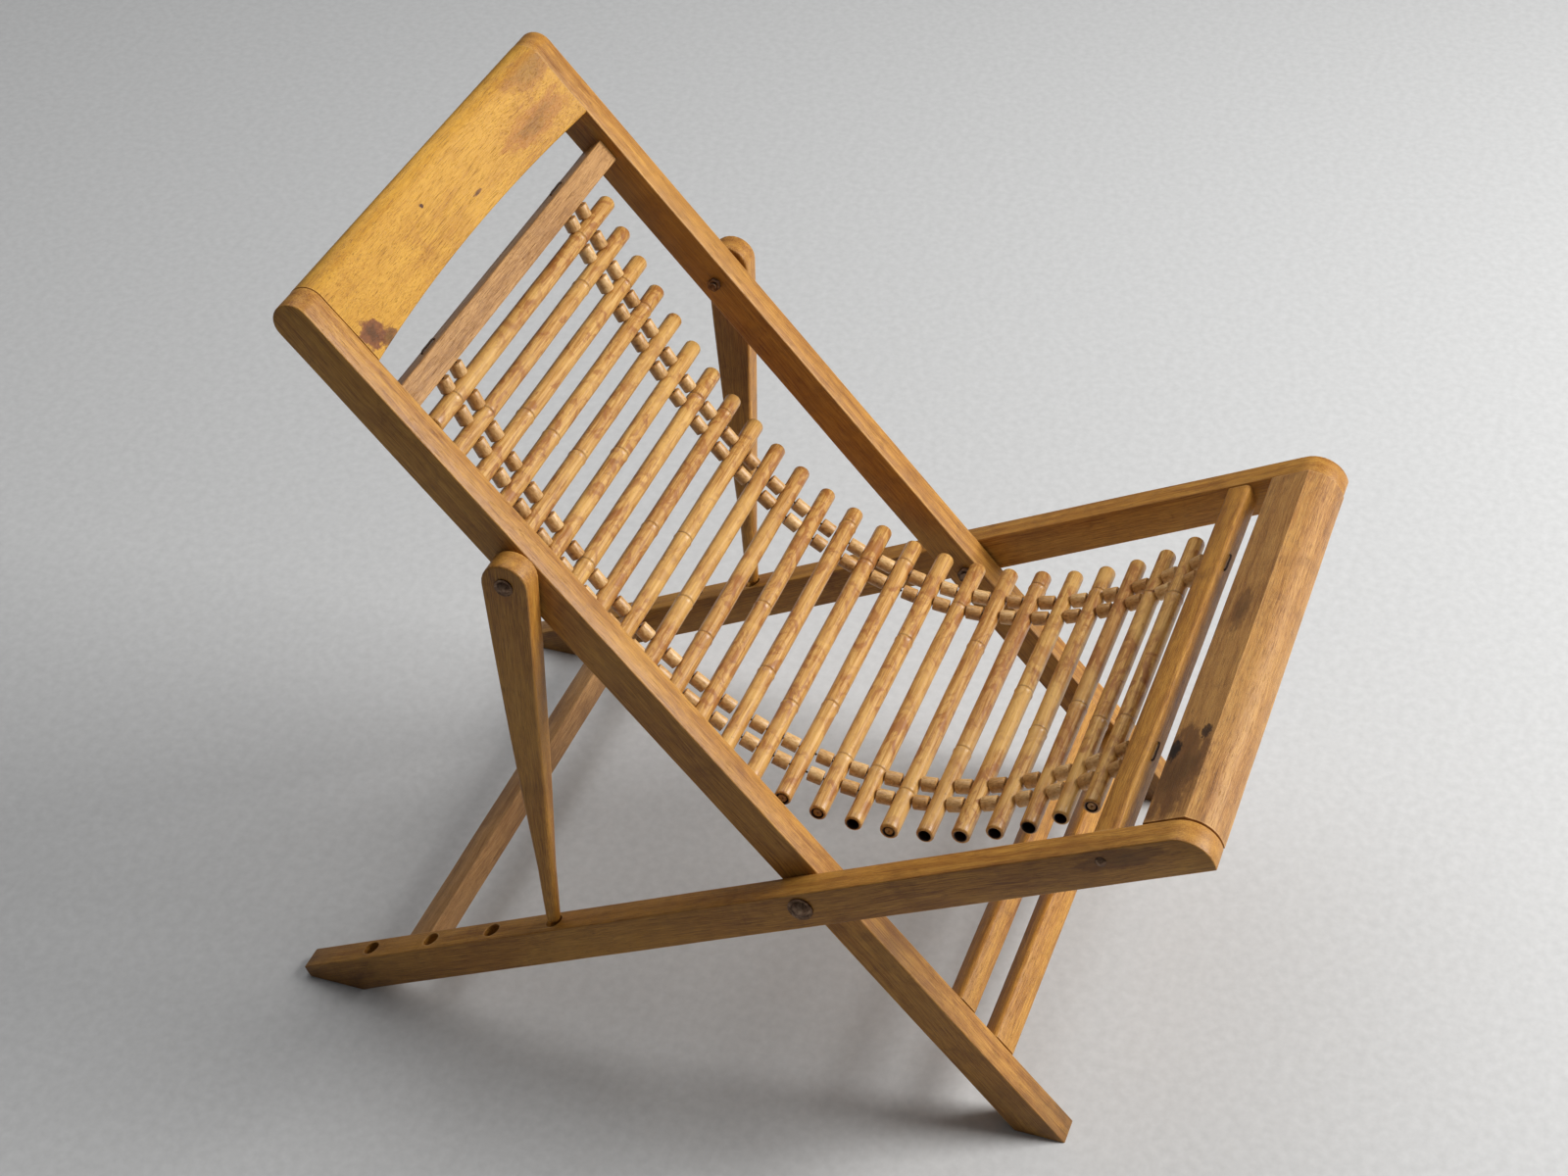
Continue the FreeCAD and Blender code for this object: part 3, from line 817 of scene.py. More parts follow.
def arc(centre_y: float, centre_z: float, radius: float, way: int, reach: float,
        turns: int) -> list[tuple[float, float]]:
    """List points on an arc that starts at its top and comes down its outer side.

    Args:
        centre_y: The arc's centre along the wood, mm.
        centre_z: The arc's centre square to the wood, mm.
        radius: Its radius, mm.
        way: 1 to bulge towards local +Y, -1 towards -Y.
        reach: How far round it goes, in radians.
        turns: How many steps it takes.

    Returns:
        The points.
    """
    angles = (reach * step / turns for step in range(turns + 1))
    return [(centre_y + way * radius * math.sin(angle), centre_z + radius * math.cos(angle))
            for angle in angles]


def prism(outline: list[tuple[float, float]], low_x: float, high_x: float) -> bmesh.types.BMesh:
    """Extrude an outline in local Y and Z across the chair.

    Args:
        outline: The corners, mm.
        low_x: The first face's X, mm.
        high_x: The second face's X, mm.

    Returns:
        The closed mesh.
    """
    bm = bmesh.new()
    corners = [bm.verts.new((low_x * MM, y * MM, z * MM)) for y, z in outline]
    side = bm.faces.new(corners)
    grown = bmesh.ops.extrude_face_region(bm, geom=[side])["geom"]
    moved = [item for item in grown if isinstance(item, bmesh.types.BMVert)]
    bmesh.ops.translate(bm, verts=moved, vec=((high_x - low_x) * MM, 0, 0))
    bmesh.ops.recalc_face_normals(bm, faces=bm.faces[:])
    return bm


def bore(piece: bpy.types.Object, holes: list[tuple[Vector, Vector, float]]) -> None:
    """Cut round holes into a piece.

    Args:
        piece: The piece; its mesh is changed.
        holes: Each hole's mouth, its bottom and its radius.
    """
    cutter_mesh = bpy.data.meshes.new("cutter")
    bm = bmesh.new()
    for mouth, bottom, radius in holes:
        run = mouth - bottom
        turn = run.to_track_quat("Z", "Y").to_matrix().to_4x4()
        matrix = Matrix.Translation((mouth + bottom) / 2) @ turn
        bmesh.ops.create_cone(bm, cap_ends=True, segments=28, radius1=radius, radius2=radius,
                              depth=run.length, matrix=matrix)
    bm.to_mesh(cutter_mesh)
    bm.free()
    cutter = bpy.data.objects.new("cutter", cutter_mesh)
    bpy.context.scene.collection.objects.link(cutter)
    modifier = piece.modifiers.new("bore", "BOOLEAN")
    modifier.operation = "DIFFERENCE"
    modifier.solver = "EXACT"
    modifier.object = cutter
    shown = piece.evaluated_get(bpy.context.evaluated_depsgraph_get())
    cut_mesh = bpy.data.meshes.new_from_object(shown)
    piece.modifiers.clear()
    old = piece.data
    piece.data = cut_mesh
    cut_mesh.name = old.name
    bpy.data.meshes.remove(old)
    bpy.data.objects.remove(cutter)


@dataclass
class WoodenFrames:
    """The seat frame's and back frame's rails and crossbars, and the headboard."""

    plan: Plan
    seat_rail: Rail = field(default_factory=lambda: Rail(
        304, 29, 41, 24, 606, -418, RailEnd.QUARTER_ROUND))
    back_rail: Rail = field(default_factory=lambda: Rail(
        272.5, 32, 39, 22, -400, 735, RailEnd.HALF_ROUND))
    seat_inner: float = 275.0
    back_inner: float = 240.5
    hole_first: float = 287.0
    hole_pitch: float = 78.7
    hole_x: float = 288.5

    def build(self) -> None:
        """Build and dress every piece of the two frames."""
        self.rails()
        self.bars()
        self.headboard()

    def rails(self) -> None:
        """Build the four rails, with peg holes in the seat's."""
        for side, sign in SIDES.items():
            marks = ()
            if side == "left":
                spot = self.plan.in_seat(-304, 335, 4)
                marks = (Mark(tuple(spot), (0.05, 0.013), tone(92, 50, 22), 0.5),)
            wood = WoodFinish("seat_rail_wood_" + side, Run.SEAT, shift=0.31 * sign, marks=marks)
            bm = self.seat_rail.build(self.plan.seat(), sign, 3.0 + sign)
            piece = make_piece(bm, "worn_seat_rail_" + side, wood.material(),
                               ["seat_rail_" + side], "seat_frame")
            holes = []
            for number in range(4):
                along = -(self.hole_first + number * self.hole_pitch)
                mouth = self.plan.in_seat(sign * self.hole_x, along, 22)
                bottom = self.plan.in_seat(sign * self.hole_x, along, -9)
                holes.append((mouth, bottom, 9 * MM))
            bore(piece, holes)
            wood = WoodFinish("back_rail_wood_" + side, Run.BACK, shift=0.57 * sign)
            bm = self.back_rail.build(self.plan.back(), sign, 7.0 + sign)
            make_piece(bm, "worn_back_rail_" + side, wood.material(),
                       ["back_rail_" + side], "back_frame")

    def bar(self, name: str, place: Matrix, inner: float, box: tuple[float, float, float, float],
            material: bpy.types.Material, body: str, edge: float = 1.8, gap: float = 0.4) -> None:
        """Build one straight crossbar from rail to rail.

        Args:
            name: The CAD node that it stands for.
            place: The local frame's matrix.
            inner: Half its length, mm.
            box: Its low and high Y, then its low and high Z, mm.
            material: Its material.
            body: The body that it rides on.
            edge: How much its edges are rounded, mm.
            gap: How far its left end has shrunk from the rail, mm.
        """
        low_y, high_y, low_z, high_z = box
        corners = [(low_y, low_z), (high_y, low_z), (high_y, high_z), (low_y, high_z)]
        bm = prism(corners, gap - inner, inner)
        ease(bm, cross_edges(bm, low_y) + cross_edges(bm, high_y), edge)
        slice_along(bm, X_AXIS, -inner * MM, inner * MM, 0.03)
        bmesh.ops.transform(bm, matrix=place, verts=bm.verts[:])
        wear_in(bm, amount=0.0006, seed=len(name) * 1.3, keep_x=inner * MM - 1e-4)
        make_piece(bm, "worn_" + name, material, [name], body)

    def bars(self) -> None:
        """Build the five straight crossbars and the round-nosed front bar."""
        seat, back = self.plan.seat(), self.plan.back()
        brown = {"dark": tone(112, 74, 38), "mid": tone(158, 112, 62), "light": tone(190, 144, 90)}
        wood = WoodFinish("sling_bar_wood", Run.ACROSS, shift=0.2)
        self.bar("sling_bar", seat, self.seat_inner, (-329, -303, -9, 15), wood.material(),
                 "seat_frame", edge=4.0, gap=1.4)
        wood = WoodFinish("rear_bar_wood", Run.ACROSS, shift=0.9, **brown)
        self.bar("rear_crossbar", seat, self.seat_inner, (452, 482, -10, 15), wood.material(),
                 "seat_frame")
        wood = WoodFinish("top_bar_wood", Run.ACROSS, shift=1.4, **brown)
        self.bar("top_crossbar", back, self.back_inner, (582, 608, -22, 6), wood.material(),
                 "back_frame")
        foot = WoodFinish("foot_bar_wood", Run.ACROSS, shift=2.3, wear=0.9).material()
        for name, box in (("upper", (-218, -192, -6, 17)), ("lower", (-278, -247, -6, 17))):
            self.bar("foot_crossbar_" + name, back, self.back_inner, box, foot, "back_frame", edge=5.0)
        self.front_bar(seat)

    def front_bar(self, place: Matrix) -> None:
        """Build the wide front bar, its nose rounded like the rails' ends.

        Args:
            place: The seat frame's matrix.
        """
        rail = self.seat_rail
        top, low = rail.depth - rail.below, -rail.below
        arris = math.radians(16)
        reach = math.acos((low + rail.nose - top) / rail.nose)
        curve = arc(rail.round_end + rail.nose, top - rail.nose, rail.nose, -1, reach, 12)
        last = rail.round_end + rail.nose * (1 - math.sin(arris))
        nose = [point for point in curve if point[0] < last]
        shrunk, rear = 1.5, -353.0
        bm = prism([(nose[0][0], top)] + nose[1:] + [(rear, low), (rear, top)],
                   shrunk - self.seat_inner, self.seat_inner)
        ease(bm, cross_edges(bm, rear), 2.4)
        slice_along(bm, X_AXIS, -self.seat_inner * MM, self.seat_inner * MM, 0.03)
        bmesh.ops.transform(bm, matrix=place, verts=bm.verts[:])
        wear_in(bm, amount=0.0007, seed=4.4, keep_x=self.seat_inner * MM - 1e-4)
        spots = (
            Mark(tuple(self.plan.in_seat(-205, 372, 17)), (0.075, 0.030), tone(98, 62, 34), 0.75),
            Mark(tuple(self.plan.in_seat(-172, 360, 17)), (0.016, 0.007), tone(40, 24, 14), 1.0),
            Mark(tuple(self.plan.in_seat(-150, 386, 17)), (0.012, 0.006), tone(58, 34, 18), 0.9),
            Mark(tuple(self.plan.in_seat(40, 376, 17)), (0.040, 0.010), tone(104, 68, 38), 0.6),
        )
        wood = WoodFinish("front_bar_wood", Run.ACROSS, dark=tone(112, 72, 36), mid=tone(166, 116, 62),
                          light=tone(194, 146, 82), worn=tone(212, 164, 106), wear=0.9,
                          shift=3.1, marks=spots)
        make_piece(bm, "worn_front_bar", wood.material(), ["front_bar"], "seat_frame")

    def headboard(self) -> None:
        """Build the headboard: hollowed across its face, arched below, rounded on top."""
        half, low, crown, middle, foot = 19.5, -9.0, 715.5, -2.5, 639.0
        top = [(crown + half * math.sin(angle), middle + half * math.cos(angle))
               for angle in (math.radians(6 * n) for n in range(19))]
        points = [(y, z) for y, z in top if z > low] + [(crown + 18.2, low), (foot, low), (foot, 17)]
        inner = self.back_inner
        bm = prism(points, -inner, inner)
        ease(bm, cross_edges(bm, foot), 3.0)
        slice_along(bm, X_AXIS, -inner * MM, inner * MM, 0.016)
        for vert in bm.verts:
            bow = max(0.0, 1 - (vert.co.x / (inner * MM)) ** 2)
            front = max(0.0, (vert.co.z - low * MM) / (26 * MM))
            vert.co.z -= 13 * MM * bow * front
            lowness = max(0.0, 1 - (vert.co.y - foot * MM) / 0.04)
            vert.co.y += 8 * MM * bow * lowness
        bmesh.ops.transform(bm, matrix=self.plan.back(), verts=bm.verts[:])
        knots = (
            Mark(tuple(self.plan.in_back(-222, 660, 14)), (0.022, 0.015), tone(122, 70, 38), 0.95),
            Mark(tuple(self.plan.in_back(-206, 645, 14)), (0.016, 0.010), tone(104, 58, 34), 0.8),
            Mark(tuple(self.plan.in_back(170, 672, 12)), (0.075, 0.016), tone(158, 92, 40), 0.55),
            Mark(tuple(self.plan.in_back(215, 712, 15)), (0.060, 0.018), tone(146, 88, 42), 0.5),
            Mark(tuple(self.plan.in_back(-40, 700, 5)), (0.0035, 0.0028), tone(92, 50, 20), 1.0),
            Mark(tuple(self.plan.in_back(36, 668, 5)), (0.010, 0.0022), tone(104, 60, 26), 0.9),
        )
        wood = WoodFinish("headboard_wood", Run.ACROSS, dark=tone(154, 98, 34), mid=tone(190, 136, 44),
                          light=tone(208, 156, 58), worn=tone(218, 172, 100), wear=0.6,
                          shift=4.4, marks=knots)
        make_piece(bm, "worn_headboard", wood.material(), ["headboard"], "back_frame")


@dataclass
class PropArms:
    """The two arms that hold the back up: round head, tapering blade, round peg."""

    plan: Plan
    middle_x: float = 288.5
    pivot_along: float = 418.0
    pivot_above: float = -2.5
    tip_along: float = -284.0
    tip_above: float = 23.4
    head: float = 23.0
    half_thick: float = 13.0
    edge: float = 2.4
    corner_steps: int = 5
    head_steps: int = 14

    def section(self, wide: float, thick: float, corner: float) -> list[tuple[float, float]]:
        """List a rounded rectangle's points from the middle of its right side, anticlockwise.

        Args:
            wide: Half its width along Y, mm.
            thick: Half its thickness along X, mm.
            corner: Its corners' radius, mm.

        Returns:
            The points in X and Y, mm.
        """
        quarter = [(thick - corner + corner * math.cos(angle), wide - corner + corner * math.sin(angle))
                   for angle in (math.pi / 2 * step / self.corner_steps
                                 for step in range(self.corner_steps + 1))]
        upper = [(thick, 0.0)] + quarter + [(-x, y) for x, y in reversed(quarter)]
        return upper + [(-thick, 0.0)] + [(-x, -y) for x, y in upper[1:]]

    def blade(self, reach: float) -> list[tuple[float, float, float, float]]:
        """List the sections below the pivot down to the peg's tip.

        Args:
            reach: The distance from the pivot to the centre of the round tip, mm.

        Returns:
            Each section's height, half width, half thickness and corner radius, mm.
        """
        rows = [(0, self.head, self.half_thick, self.edge)]
        rows += [(-70, 20.4, 13.0, 2.6), (-140, 17.4, 12.7, 3.0), (-200, 14.9, 12.2, 3.8),
                 (-250, 12.8, 11.3, 5.0), (-290, 11.2, 10.4, 6.4), (-325, 9.9, 9.5, 7.8),
                 (-350, 9.0, 8.9, 8.7), (-385, 8.1, 8.1, 8.0), (-reach, 7.0, 7.0, 6.9)]
        for angle in (25, 50, 72, 86):
            drop, wide = 7 * math.sin(math.radians(angle)), 7 * math.cos(math.radians(angle))
            rows.append((-reach - drop, wide, wide, wide * 0.98))
        return rows

    def build(self) -> None:
        """Build and dress both arms."""
        for side, sign in SIDES.items():
            pivot = self.plan.in_back(sign * self.middle_x, self.pivot_along, self.pivot_above)
            tip = self.plan.in_seat(sign * self.middle_x, self.tip_along, self.tip_above)
            drop = tip - pivot
            bm = self.shape(drop.length / MM)
            tilt = math.atan2(drop.y, -drop.z)
            place = Matrix.Translation(pivot) @ Matrix.Rotation(tilt, 4, "X")
            bmesh.ops.transform(bm, matrix=place, verts=bm.verts[:])
            wood = WoodFinish("prop_wood_" + side, Run.PROP, shift=1.1 * sign, wear=0.6)
            make_piece(bm, "worn_prop_" + side, wood.material(), ["prop_" + side],
                       "prop_arm_" + side, 50.0)

    def shape(self, reach: float) -> bmesh.types.BMesh:
        """Build one arm upright, its pivot at the origin.

        Args:
            reach: The distance from the pivot to the centre of the round tip, mm.

        Returns:
            The closed mesh.
        """
        bm = bmesh.new()
        loops = []
        for height, wide, thick, corner in self.blade(reach):
            verts = [bm.verts.new((x * MM, y * MM, height * MM))
                     for x, y in self.section(wide, thick, corner)]
            loops.append([bm.edges.new(pair) for pair in zip(verts, verts[1:] + verts[:1])])
        for upper, lower in zip(loops, loops[1:]):
            bmesh.ops.bridge_loops(bm, edges=upper + lower)
        bmesh.ops.holes_fill(bm, edges=loops[-1], sides=0)
        full = self.section(self.head, self.half_thick, self.edge)
        rim = [bm.verts.new((x * MM, y * MM, 0)) for x, y in full[:len(full) // 2 + 1]]
        lines = [bm.edges.new(pair) for pair in zip(rim, rim[1:])]
        bmesh.ops.spin(bm, geom=rim + lines, cent=(0, 0, 0), axis=(1, 0, 0), dvec=(0, 0, 0),
                       angle=math.pi, steps=self.head_steps, use_merge=False, use_duplicate=False)
        bmesh.ops.remove_doubles(bm, verts=bm.verts[:], dist=1e-5)
        bmesh.ops.recalc_face_normals(bm, faces=bm.faces[:])
        return bm


class SlingHalf(Enum):
    """Which bar a part of the sling hangs from."""

    UPPER = "upper"
    LOWER = "lower"


@dataclass
class Sling:
    """Canes, beads and strings, in groups that move as one.

    Attributes:
        plan: Where the wooden frames lie.
        nodes: The CAD's own pieces by name.
        count: How many canes there are.
        per_group: How many canes move as one.
        groups: How many such groups hang from each bar.
        half_length: Half a cane's length, mm.
        radius: A cane's radius, mm.
        bead_radius: A bead's radius, mm.
        bead_length: A bead's length, mm.
        hinge_bead_length: The length of a bead where the sling bends, mm.
        end_bead_length: The length of a bead beside a bar, mm.
        snug: The gap between a bead and the cane it sits against, mm.
    """

    plan: Plan
    nodes: dict[str, bpy.types.Object]
    count: int = 24
    per_group: int = 3
    groups: int = 4
    half_length: float = 211.0
    radius: float = 9.5
    bead_radius: float = 7.6
    bead_length: float = 16.2
    hinge_bead_length: float = 15.0
    end_bead_length: float = 13.5
    snug: float = 0.4

    def build(self) -> None:
        """Build and dress the whole sling."""
        cane_material = BambooFinish().material()
        bead_material = BeadFinish().material()
        string_material = StringFinish().material()
        for half in SlingHalf:
            for number in range(1, self.groups + 1):
                body = "sling_%s_%d" % (half.value, number)
                canes = self.canes_of(half, number)
                for cane in canes:
                    self.cane(cane, body, cane_material)
                self.beads(half, number, canes, body, bead_material)
                dress(self.nodes["strings_%s_%d" % (half.value, number)], string_material)
        self.loops(string_material)

    def canes_of(self, half: SlingHalf, number: int) -> list[int]:
        """List a group's canes in order from its bar, numbered from 1 at the top."""
        first = (number - 1) * self.per_group + 1
        order = range(first, first + self.per_group)
        return [n if half is SlingHalf.UPPER else self.count + 1 - n for n in order]

    def stop(self, number: int) -> Vector:
        """Find a cane's centre, or the bar's face where the number is past an end.

        Args:
            number: The cane's number, 0 for the top bar or one past the last.

        Returns:
            The point, in metres.
        """
        if number < 1:
            return self.plan.in_back(0, 582, -10)
        if number > self.count:
            return self.plan.in_seat(0, 303, 4)
        low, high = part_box("cane_%02d" % number)
        return (low + high) / 2

    def cane(self, number: int, body: str, material: bpy.types.Material) -> None:
        """Build one cane: taper, swollen nodes, hollow ends with rounded rims.

        Args:
            number: The cane's number.
            body: The body that it rides on.
            material: Its material.
        """
        dice = random.Random(number * 17 + 5)
        half = self.half_length
        base = self.radius - 0.45 + dice.uniform(-0.25, 0.1)
        taper = dice.uniform(-0.35, 0.35)
        joints = []
        place = -half + dice.uniform(40, 220)
        while place < half - 18:
            joints.append(place)
            place += dice.uniform(190, 300)
        spots = {-half + 2.0, half - 2.0}
        spots.update(-half + 12 + n * 14.2 for n in range(29))
        for joint in joints:
            spots.update(joint + off for off in (-7, -3.6, -2, -1, 0, 1, 2, 3.4, 5, 8))
        outer = [(x, self.skin(x, base, taper, joints)) for x in sorted(spots) if abs(x) <= half - 2]
        bore_radius = 5.1 + dice.uniform(0, 0.8)
        skin = outer[0][1]
        plugged = dice.random() < 0.8
        left = self.plug(half, bore_radius) if plugged else [(24 - half, 0.0), (24 - half, bore_radius)]
        left += [(0.8 - half, bore_radius + 0.1), (0.1 - half, bore_radius + 0.7), (-half, skin - 2.2),
                 (0.4 - half, skin - 1.1), (1.2 - half, skin - 0.35)]
        wider = outer[-1][1] - skin
        right = [(-x, r + wider if r > bore_radius + 1 else r) for x, r in reversed(left)]
        profile = left + outer + right
        bm = bmesh.new()
        tone_layer = bm.verts.layers.float.new("own_tone")
        ring_layer = bm.verts.layers.float.new("ring")
        bore_shade_layer = bm.verts.layers.float.new("bore_shade")
        own = dice.uniform(0.0, 1.0) ** 1.3
        verts = []
        for x, radius in profile:
            vert = bm.verts.new((x * MM, 0, radius * MM))
            vert[tone_layer] = own
            vert[ring_layer] = max([0.0] + [math.exp(-((x - joint - 2.6) / 1.1) ** 2) for joint in joints])
            # Painted shade: full in the bore, the groove round the pith and the pit at its centre, a quarter
            # on the pith's face.
            disc = plugged and 0.0 < radius < bore_radius - 0.6 and abs(x) > half - 1.5
            vert[bore_shade_layer] = 0.0 if radius > bore_radius + 0.9 else (0.25 if disc else 1.0)
            verts.append(vert)
        edges = [bm.edges.new(pair) for pair in zip(verts, verts[1:])]
        bmesh.ops.spin(bm, geom=verts + edges, cent=(0, 0, 0), axis=(1, 0, 0), dvec=(0, 0, 0),
                       angle=2 * math.pi, steps=22, use_merge=True, use_duplicate=False)
        bmesh.ops.remove_doubles(bm, verts=bm.verts[:], dist=1e-6)
        bmesh.ops.recalc_face_normals(bm, faces=bm.faces[:])
        self.warp(bm, dice.uniform(0, 50))
        bmesh.ops.translate(bm, vec=self.stop(number), verts=bm.verts[:])
        name = "cane_%02d" % number
        make_piece(bm, "bamboo_" + name, material, [name], body, 42.0)

    def plug(self, half: float, bore_radius: float) -> list[tuple[float, float]]:
        """List the profile of the pith left in a cane's end, with a groove round it where shade is painted.

        Args:
            half: Half the cane's length, mm.
            bore_radius: The hollow's radius, mm.

        Returns:
            Points along the cane and out from its middle, mm.
        """
        pith = bore_radius - 1.0
        return [(6.0 - half, 0.0), (1.2 - half, 1.0), (0.8 - half, 1.5), (0.8 - half, pith - 0.3),
                (1.4 - half, pith), (9.0 - half, pith + 0.2), (9.0 - half, bore_radius)]

    def skin(self, x: float, base: float, taper: float, joints: list[float]) -> float:
        """Give a cane's radius at a place along it.

        Args:
            x: The place, mm from the middle.
            base: The plain radius, mm.
            taper: How much it grows from the middle to one end, mm.
            joints: Where the nodes are, mm.

        Returns:
            The radius, mm.
        """
        radius = base + taper * x / self.half_length
        for joint in joints:
            radius += 0.60 * math.exp(-((x - joint) / 2.0) ** 2)
            radius -= 0.50 * math.exp(-((x - joint - 3.0) / 0.8) ** 2)
        return radius

    def warp(self, bm: bmesh.types.BMesh, seed: float) -> None:
        """Bow a cane a little and make it slightly out of round.

        Args:
            bm: The cane, along X through the origin.
            seed: Chooses the bow.
        """
        for vert in bm.verts:
            bow = noise.noise_vector(Vector((vert.co.x * 6.0, seed, 0))) * 0.0006
            spot = Vector((vert.co.x * 20.0, vert.co.y * 60.0, vert.co.z * 60.0 + seed))
            dent = 1 + 0.03 * noise.noise(spot)
            vert.co.y = vert.co.y * dent + bow.y
            vert.co.z = vert.co.z * dent + bow.z

    def beads(self, half: SlingHalf, number: int, canes: list[int], body: str,
              material: bpy.types.Material) -> None:
        """Build a group's beads, one in each gap on each string.

        Args:
            half: Which half of the sling.
            number: The group's number from its bar.
            canes: The group's canes in order from its bar.
            body: The body that they ride on.
            material: Their material.
        """
        step = 1 if half is SlingHalf.UPPER else -1
        stops = ([canes[0] - step] if number == 1 else []) + canes
        if half is SlingHalf.UPPER or number < self.groups:
            stops.append(canes[-1] + step)
        dice = random.Random(number * 31 + len(half.value) + step)
        bm = bmesh.new()
        tone_layer = bm.verts.layers.float.new("own_tone")
        bore_shade_layer = bm.verts.layers.float.new("bore_shade")
        for start, end in zip(stops, stops[1:]):
            first, second = self.stop(start), self.stop(end)
            run = (second - first).normalized()
            beside_bar = not 1 <= start <= self.count
            bends = self.hinge_bead_length if end == canes[-1] + step else self.bead_length
            long = self.end_bead_length if beside_bar else bends
            off = (self.radius + self.snug + long / 2) * MM
            centre = second - run * off if beside_bar else first + run * off
            turn = run.to_track_quat("Y", "Z").to_matrix().to_4x4()
            for row in ROWS:
                spot = centre + Vector((row * MM, 0, 0))
                self.bead(bm, Matrix.Translation(spot) @ turn, long, dice, (tone_layer, bore_shade_layer))
        bmesh.ops.remove_doubles(bm, verts=bm.verts[:], dist=1e-6)
        bmesh.ops.recalc_face_normals(bm, faces=bm.faces[:])
        name = "beads_%s_%d" % (half.value, number)
        make_piece(bm, "turned_" + name, material, [name], body, 40.0)

    def bead(self, bm: bmesh.types.BMesh, place: Matrix, long: float, dice: random.Random,
             layers: tuple) -> None:
        """Add one turned bead: a short rod with eased edges and a bore.

        Args:
            bm: The mesh to add to.
            place: The bead's matrix; its hole runs along local Y.
            long: The bead's length, mm.
            dice: Draws its small differences.
            layers: The layers for its tone and for the painted shade in its bore.
        """
        half = long / 2 - dice.uniform(0.0, 0.12)
        wide = self.bead_radius - dice.uniform(0.0, 0.3)
        bore_radius = 1.8
        profile = [(-half + 1.0, bore_radius), (-half, bore_radius + 0.5), (-half, bore_radius + 0.9),
                   (-half, wide - 0.8), (-half + 0.25, wide - 0.25), (-half + 0.8, wide - 0.04), (0, wide),
                   (half - 0.8, wide - 0.04), (half - 0.25, wide - 0.25), (half, wide - 0.8),
                   (half, bore_radius + 0.9), (half, bore_radius + 0.5), (half - 1.0, bore_radius)]
        own = dice.random()
        tone_layer, bore_shade_layer = layers
        verts = []
        for y, radius in profile:
            vert = bm.verts.new(place @ Vector((radius * MM, y * MM, 0)))
            vert[tone_layer] = own
            # Painted shade in the bore and round its mouth.
            vert[bore_shade_layer] = 1.0 if radius < bore_radius + 0.6 else 0.0
            verts.append(vert)
        edges = [bm.edges.new(pair) for pair in zip(verts, verts[1:] + verts[:1])]
        bmesh.ops.spin(bm, geom=verts + edges, cent=place.translation,
                       axis=place.to_3x3() @ Vector((0, 1, 0)), dvec=(0, 0, 0),
                       angle=2 * math.pi, steps=16, use_merge=True, use_duplicate=False)

    def loops(self, material: bpy.types.Material) -> None:
        """Build the short turns of string on the far face of each bar.

        Args:
            material: The string's material.
        """
        line = ((137, -5), (137, 0.6), (141, 1.6), (150, 1.3), (160, 1.7), (164.5, 0.6), (164.5, -5))
        places = {
            "back_frame": lambda x, out: self.plan.in_back(x, 608 + out, -9),
            "seat_frame": lambda x, out: self.plan.in_seat(x, 329 + out, 4),
        }
        for body, spot in places.items():
            for side, sign in SIDES.items():
                points = [spot(sign * x, out) for x, out in line]
                bm = tube(points, 1.1 * MM)
                make_piece(bm, "string_turn_%s_%s" % (body, side), material, [], body, 60.0)


def tube(points: list[Vector], radius: float) -> bmesh.types.BMesh:
    """Build a closed tube along a smooth line through control points.

    Args:
        points: The line's control points.
        radius: The tube's radius in metres.

    Returns:
        The tube.
    """
    curve = bpy.data.curves.new("line", "CURVE")
    curve.dimensions = "3D"
    curve.resolution_u = 6
    spline = curve.splines.new("NURBS")
    spline.points.add(len(points) - 1)
    for point, co in zip(spline.points, points):
        point.co = (*co, 1)
    spline.order_u = 3
    spline.use_endpoint_u = True
    curve.bevel_depth = radius
    curve.bevel_resolution = 1
    curve.use_fill_caps = True
    holder = bpy.data.objects.new("line", curve)
    bpy.context.scene.collection.objects.link(holder)
    shown = holder.evaluated_get(bpy.context.evaluated_depsgraph_get())
    mesh = bpy.data.meshes.new_from_object(shown)
    bm = bmesh.new()
    bm.from_mesh(mesh)
    bmesh.ops.remove_doubles(bm, verts=bm.verts[:], dist=1e-6)
    bmesh.ops.recalc_face_normals(bm, faces=bm.faces[:])
    bpy.data.objects.remove(holder)
    bpy.data.curves.remove(curve)
    bpy.data.meshes.remove(mesh)
    return bm


@dataclass
class Fasteners:
    """The bolts and screws, kept as the CAD made them and given an aged finish.

    Attributes:
        nodes: The CAD's own pieces by name.
        names: How the fasteners' names start.
    """

    nodes: dict[str, bpy.types.Object]
    names: tuple[str, ...] = ("pivot_bolt_", "prop_screw_", "bar_screw_")

    def build(self) -> None:
        """Dress every bolt and screw."""
        material = BoltFinish().material()
        for name in self.names:
            for side in SIDES:
                dress(self.nodes[name + side], material)


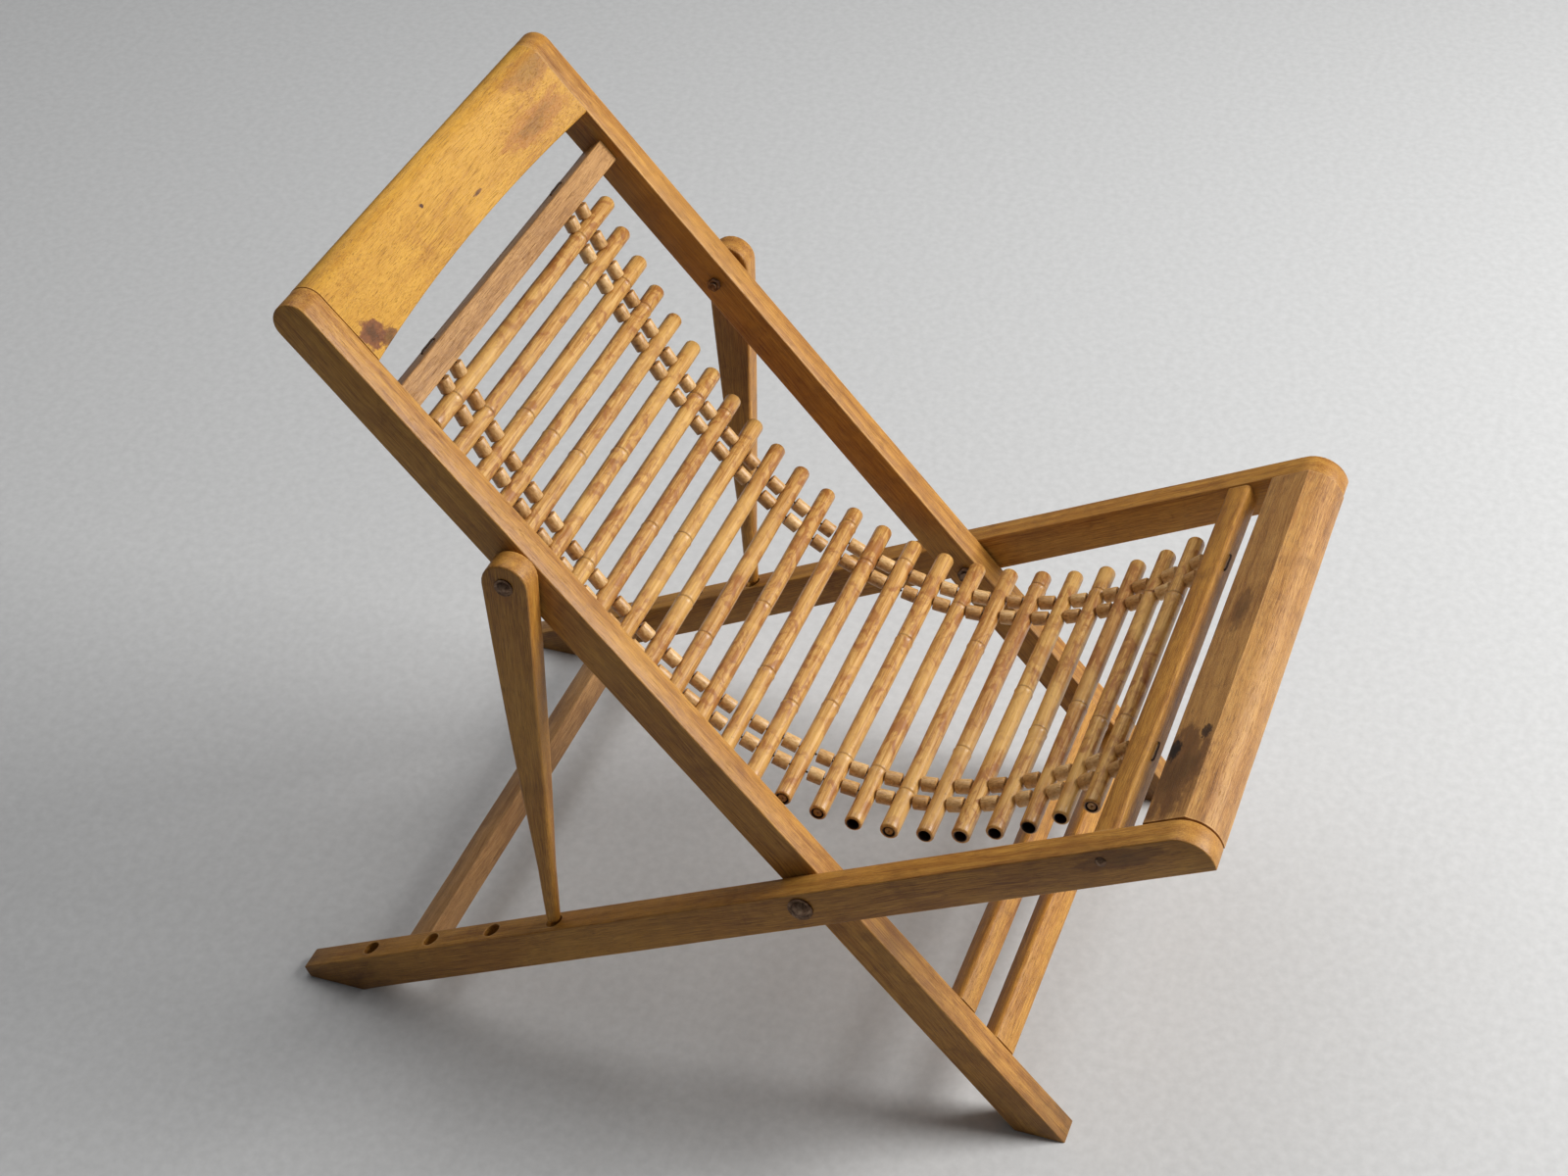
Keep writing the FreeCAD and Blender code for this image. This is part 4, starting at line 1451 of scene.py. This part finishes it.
@dataclass
class Studio:
    """Floor, soft lights and the camera.

    Attributes:
        eye: Where the camera stands, in metres.
        heading: How far its view turns from +Y towards +X, in degrees.
        dip: How far it looks down, in degrees.
        roll: How far it leans, in degrees.
        lens: Its lens, in mm on a 36 mm sensor.
    """

    eye: tuple[float, float, float] = (-2.1611, -0.7471, 2.1776)
    heading: float = 70.02
    dip: float = 37.81
    roll: float = -0.94
    lens: float = 66.88

    def build(self) -> None:
        """Set up the stage."""
        self.camera()
        self.floor()
        self.lights()

    def camera(self) -> None:
        """Place the camera."""
        heading, dip, roll = (math.radians(value) for value in (self.heading, self.dip, self.roll))
        ahead = Vector((math.cos(dip) * math.sin(heading), math.cos(dip) * math.cos(heading), -math.sin(dip)))
        right = Vector((math.cos(heading), -math.sin(heading), 0))
        up = right.cross(ahead)
        leaned_right = right * math.cos(roll) + up * math.sin(roll)
        leaned_up = up * math.cos(roll) - right * math.sin(roll)
        data = bpy.data.cameras.new("camera")
        data.lens = self.lens
        data.sensor_width = 36.0
        data.clip_end = 60.0
        camera = bpy.data.objects.new("camera", data)
        bpy.context.scene.collection.objects.link(camera)
        turn = Matrix((leaned_right, leaned_up, -ahead)).transposed().to_4x4()
        camera.matrix_world = Matrix.Translation(self.eye) @ turn
        bpy.context.scene.camera = camera

    def floor(self) -> None:
        """Lay the pale floor."""
        bm = bmesh.new()
        bmesh.ops.create_grid(bm, x_segments=1, y_segments=1, size=14.0)
        mesh = bpy.data.meshes.new("floor")
        bm.to_mesh(mesh)
        bm.free()
        mesh.materials.append(FloorFinish().material())
        floor = bpy.data.objects.new("floor", mesh)
        bpy.context.scene.collection.objects.link(floor)

    def area(self, name: str, place: tuple, aim: tuple, size: float, power: float, warmth: tuple) -> None:
        """Hang one soft light.

        Args:
            name: The light's name.
            place: Where it hangs.
            aim: The point that it faces.
            size: Its side in metres.
            power: Its power in watts.
            warmth: Its colour.
        """
        data = bpy.data.lights.new(name, "AREA")
        data.size = size
        data.energy = power
        data.color = warmth
        light = bpy.data.objects.new(name, data)
        bpy.context.scene.collection.objects.link(light)
        way = Vector(aim) - Vector(place)
        light.matrix_world = Matrix.Translation(place) @ way.to_track_quat("-Z", "Y").to_matrix().to_4x4()

    def lights(self) -> None:
        """Hang a broad key from the front right, a fill and a pale sky."""
        self.area("key", place=(1.5, -3.3, 2.8), aim=(0, 0, 0.3), size=2.4, power=250,
                  warmth=(1.0, 0.985, 0.96))
        self.area("fill", place=(-3.4, 0.6, 2.2), aim=(0, 0, 0.4), size=3.0, power=2,
                  warmth=(0.95, 0.97, 1.0))
        self.area("top", place=(1.4, 1.0, 4.2), aim=(0, 0, 0.3), size=3.2, power=62,
                  warmth=(1.0, 1.0, 1.0))
        world = bpy.data.worlds.new("sky")
        world.use_nodes = True
        sky = world.node_tree.nodes["Background"]
        sky.inputs["Color"].default_value = (0.86, 0.88, 0.9, 1)
        sky.inputs["Strength"].default_value = 0.10
        bpy.context.scene.world = world
        bpy.context.scene.view_settings.view_transform = "Standard"


def main() -> None:
    """Load the chair, dress it and set up the stage."""
    logging.basicConfig(level=logging.INFO, format="%(message)s")
    noise.seed_set(NOISE_SEED)
    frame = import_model()
    fold = next(joint for joint in frame["joints"] if joint["name"] == "fold")
    plan = Plan(Vector(fold["pos_m"]))
    Studio().build()
    WoodenFrames(plan).build()
    PropArms(plan).build()
    Sling(plan, frame["nodes"]).build()
    Fasteners(frame["nodes"]).build()


if __name__ == "__main__":
    main()
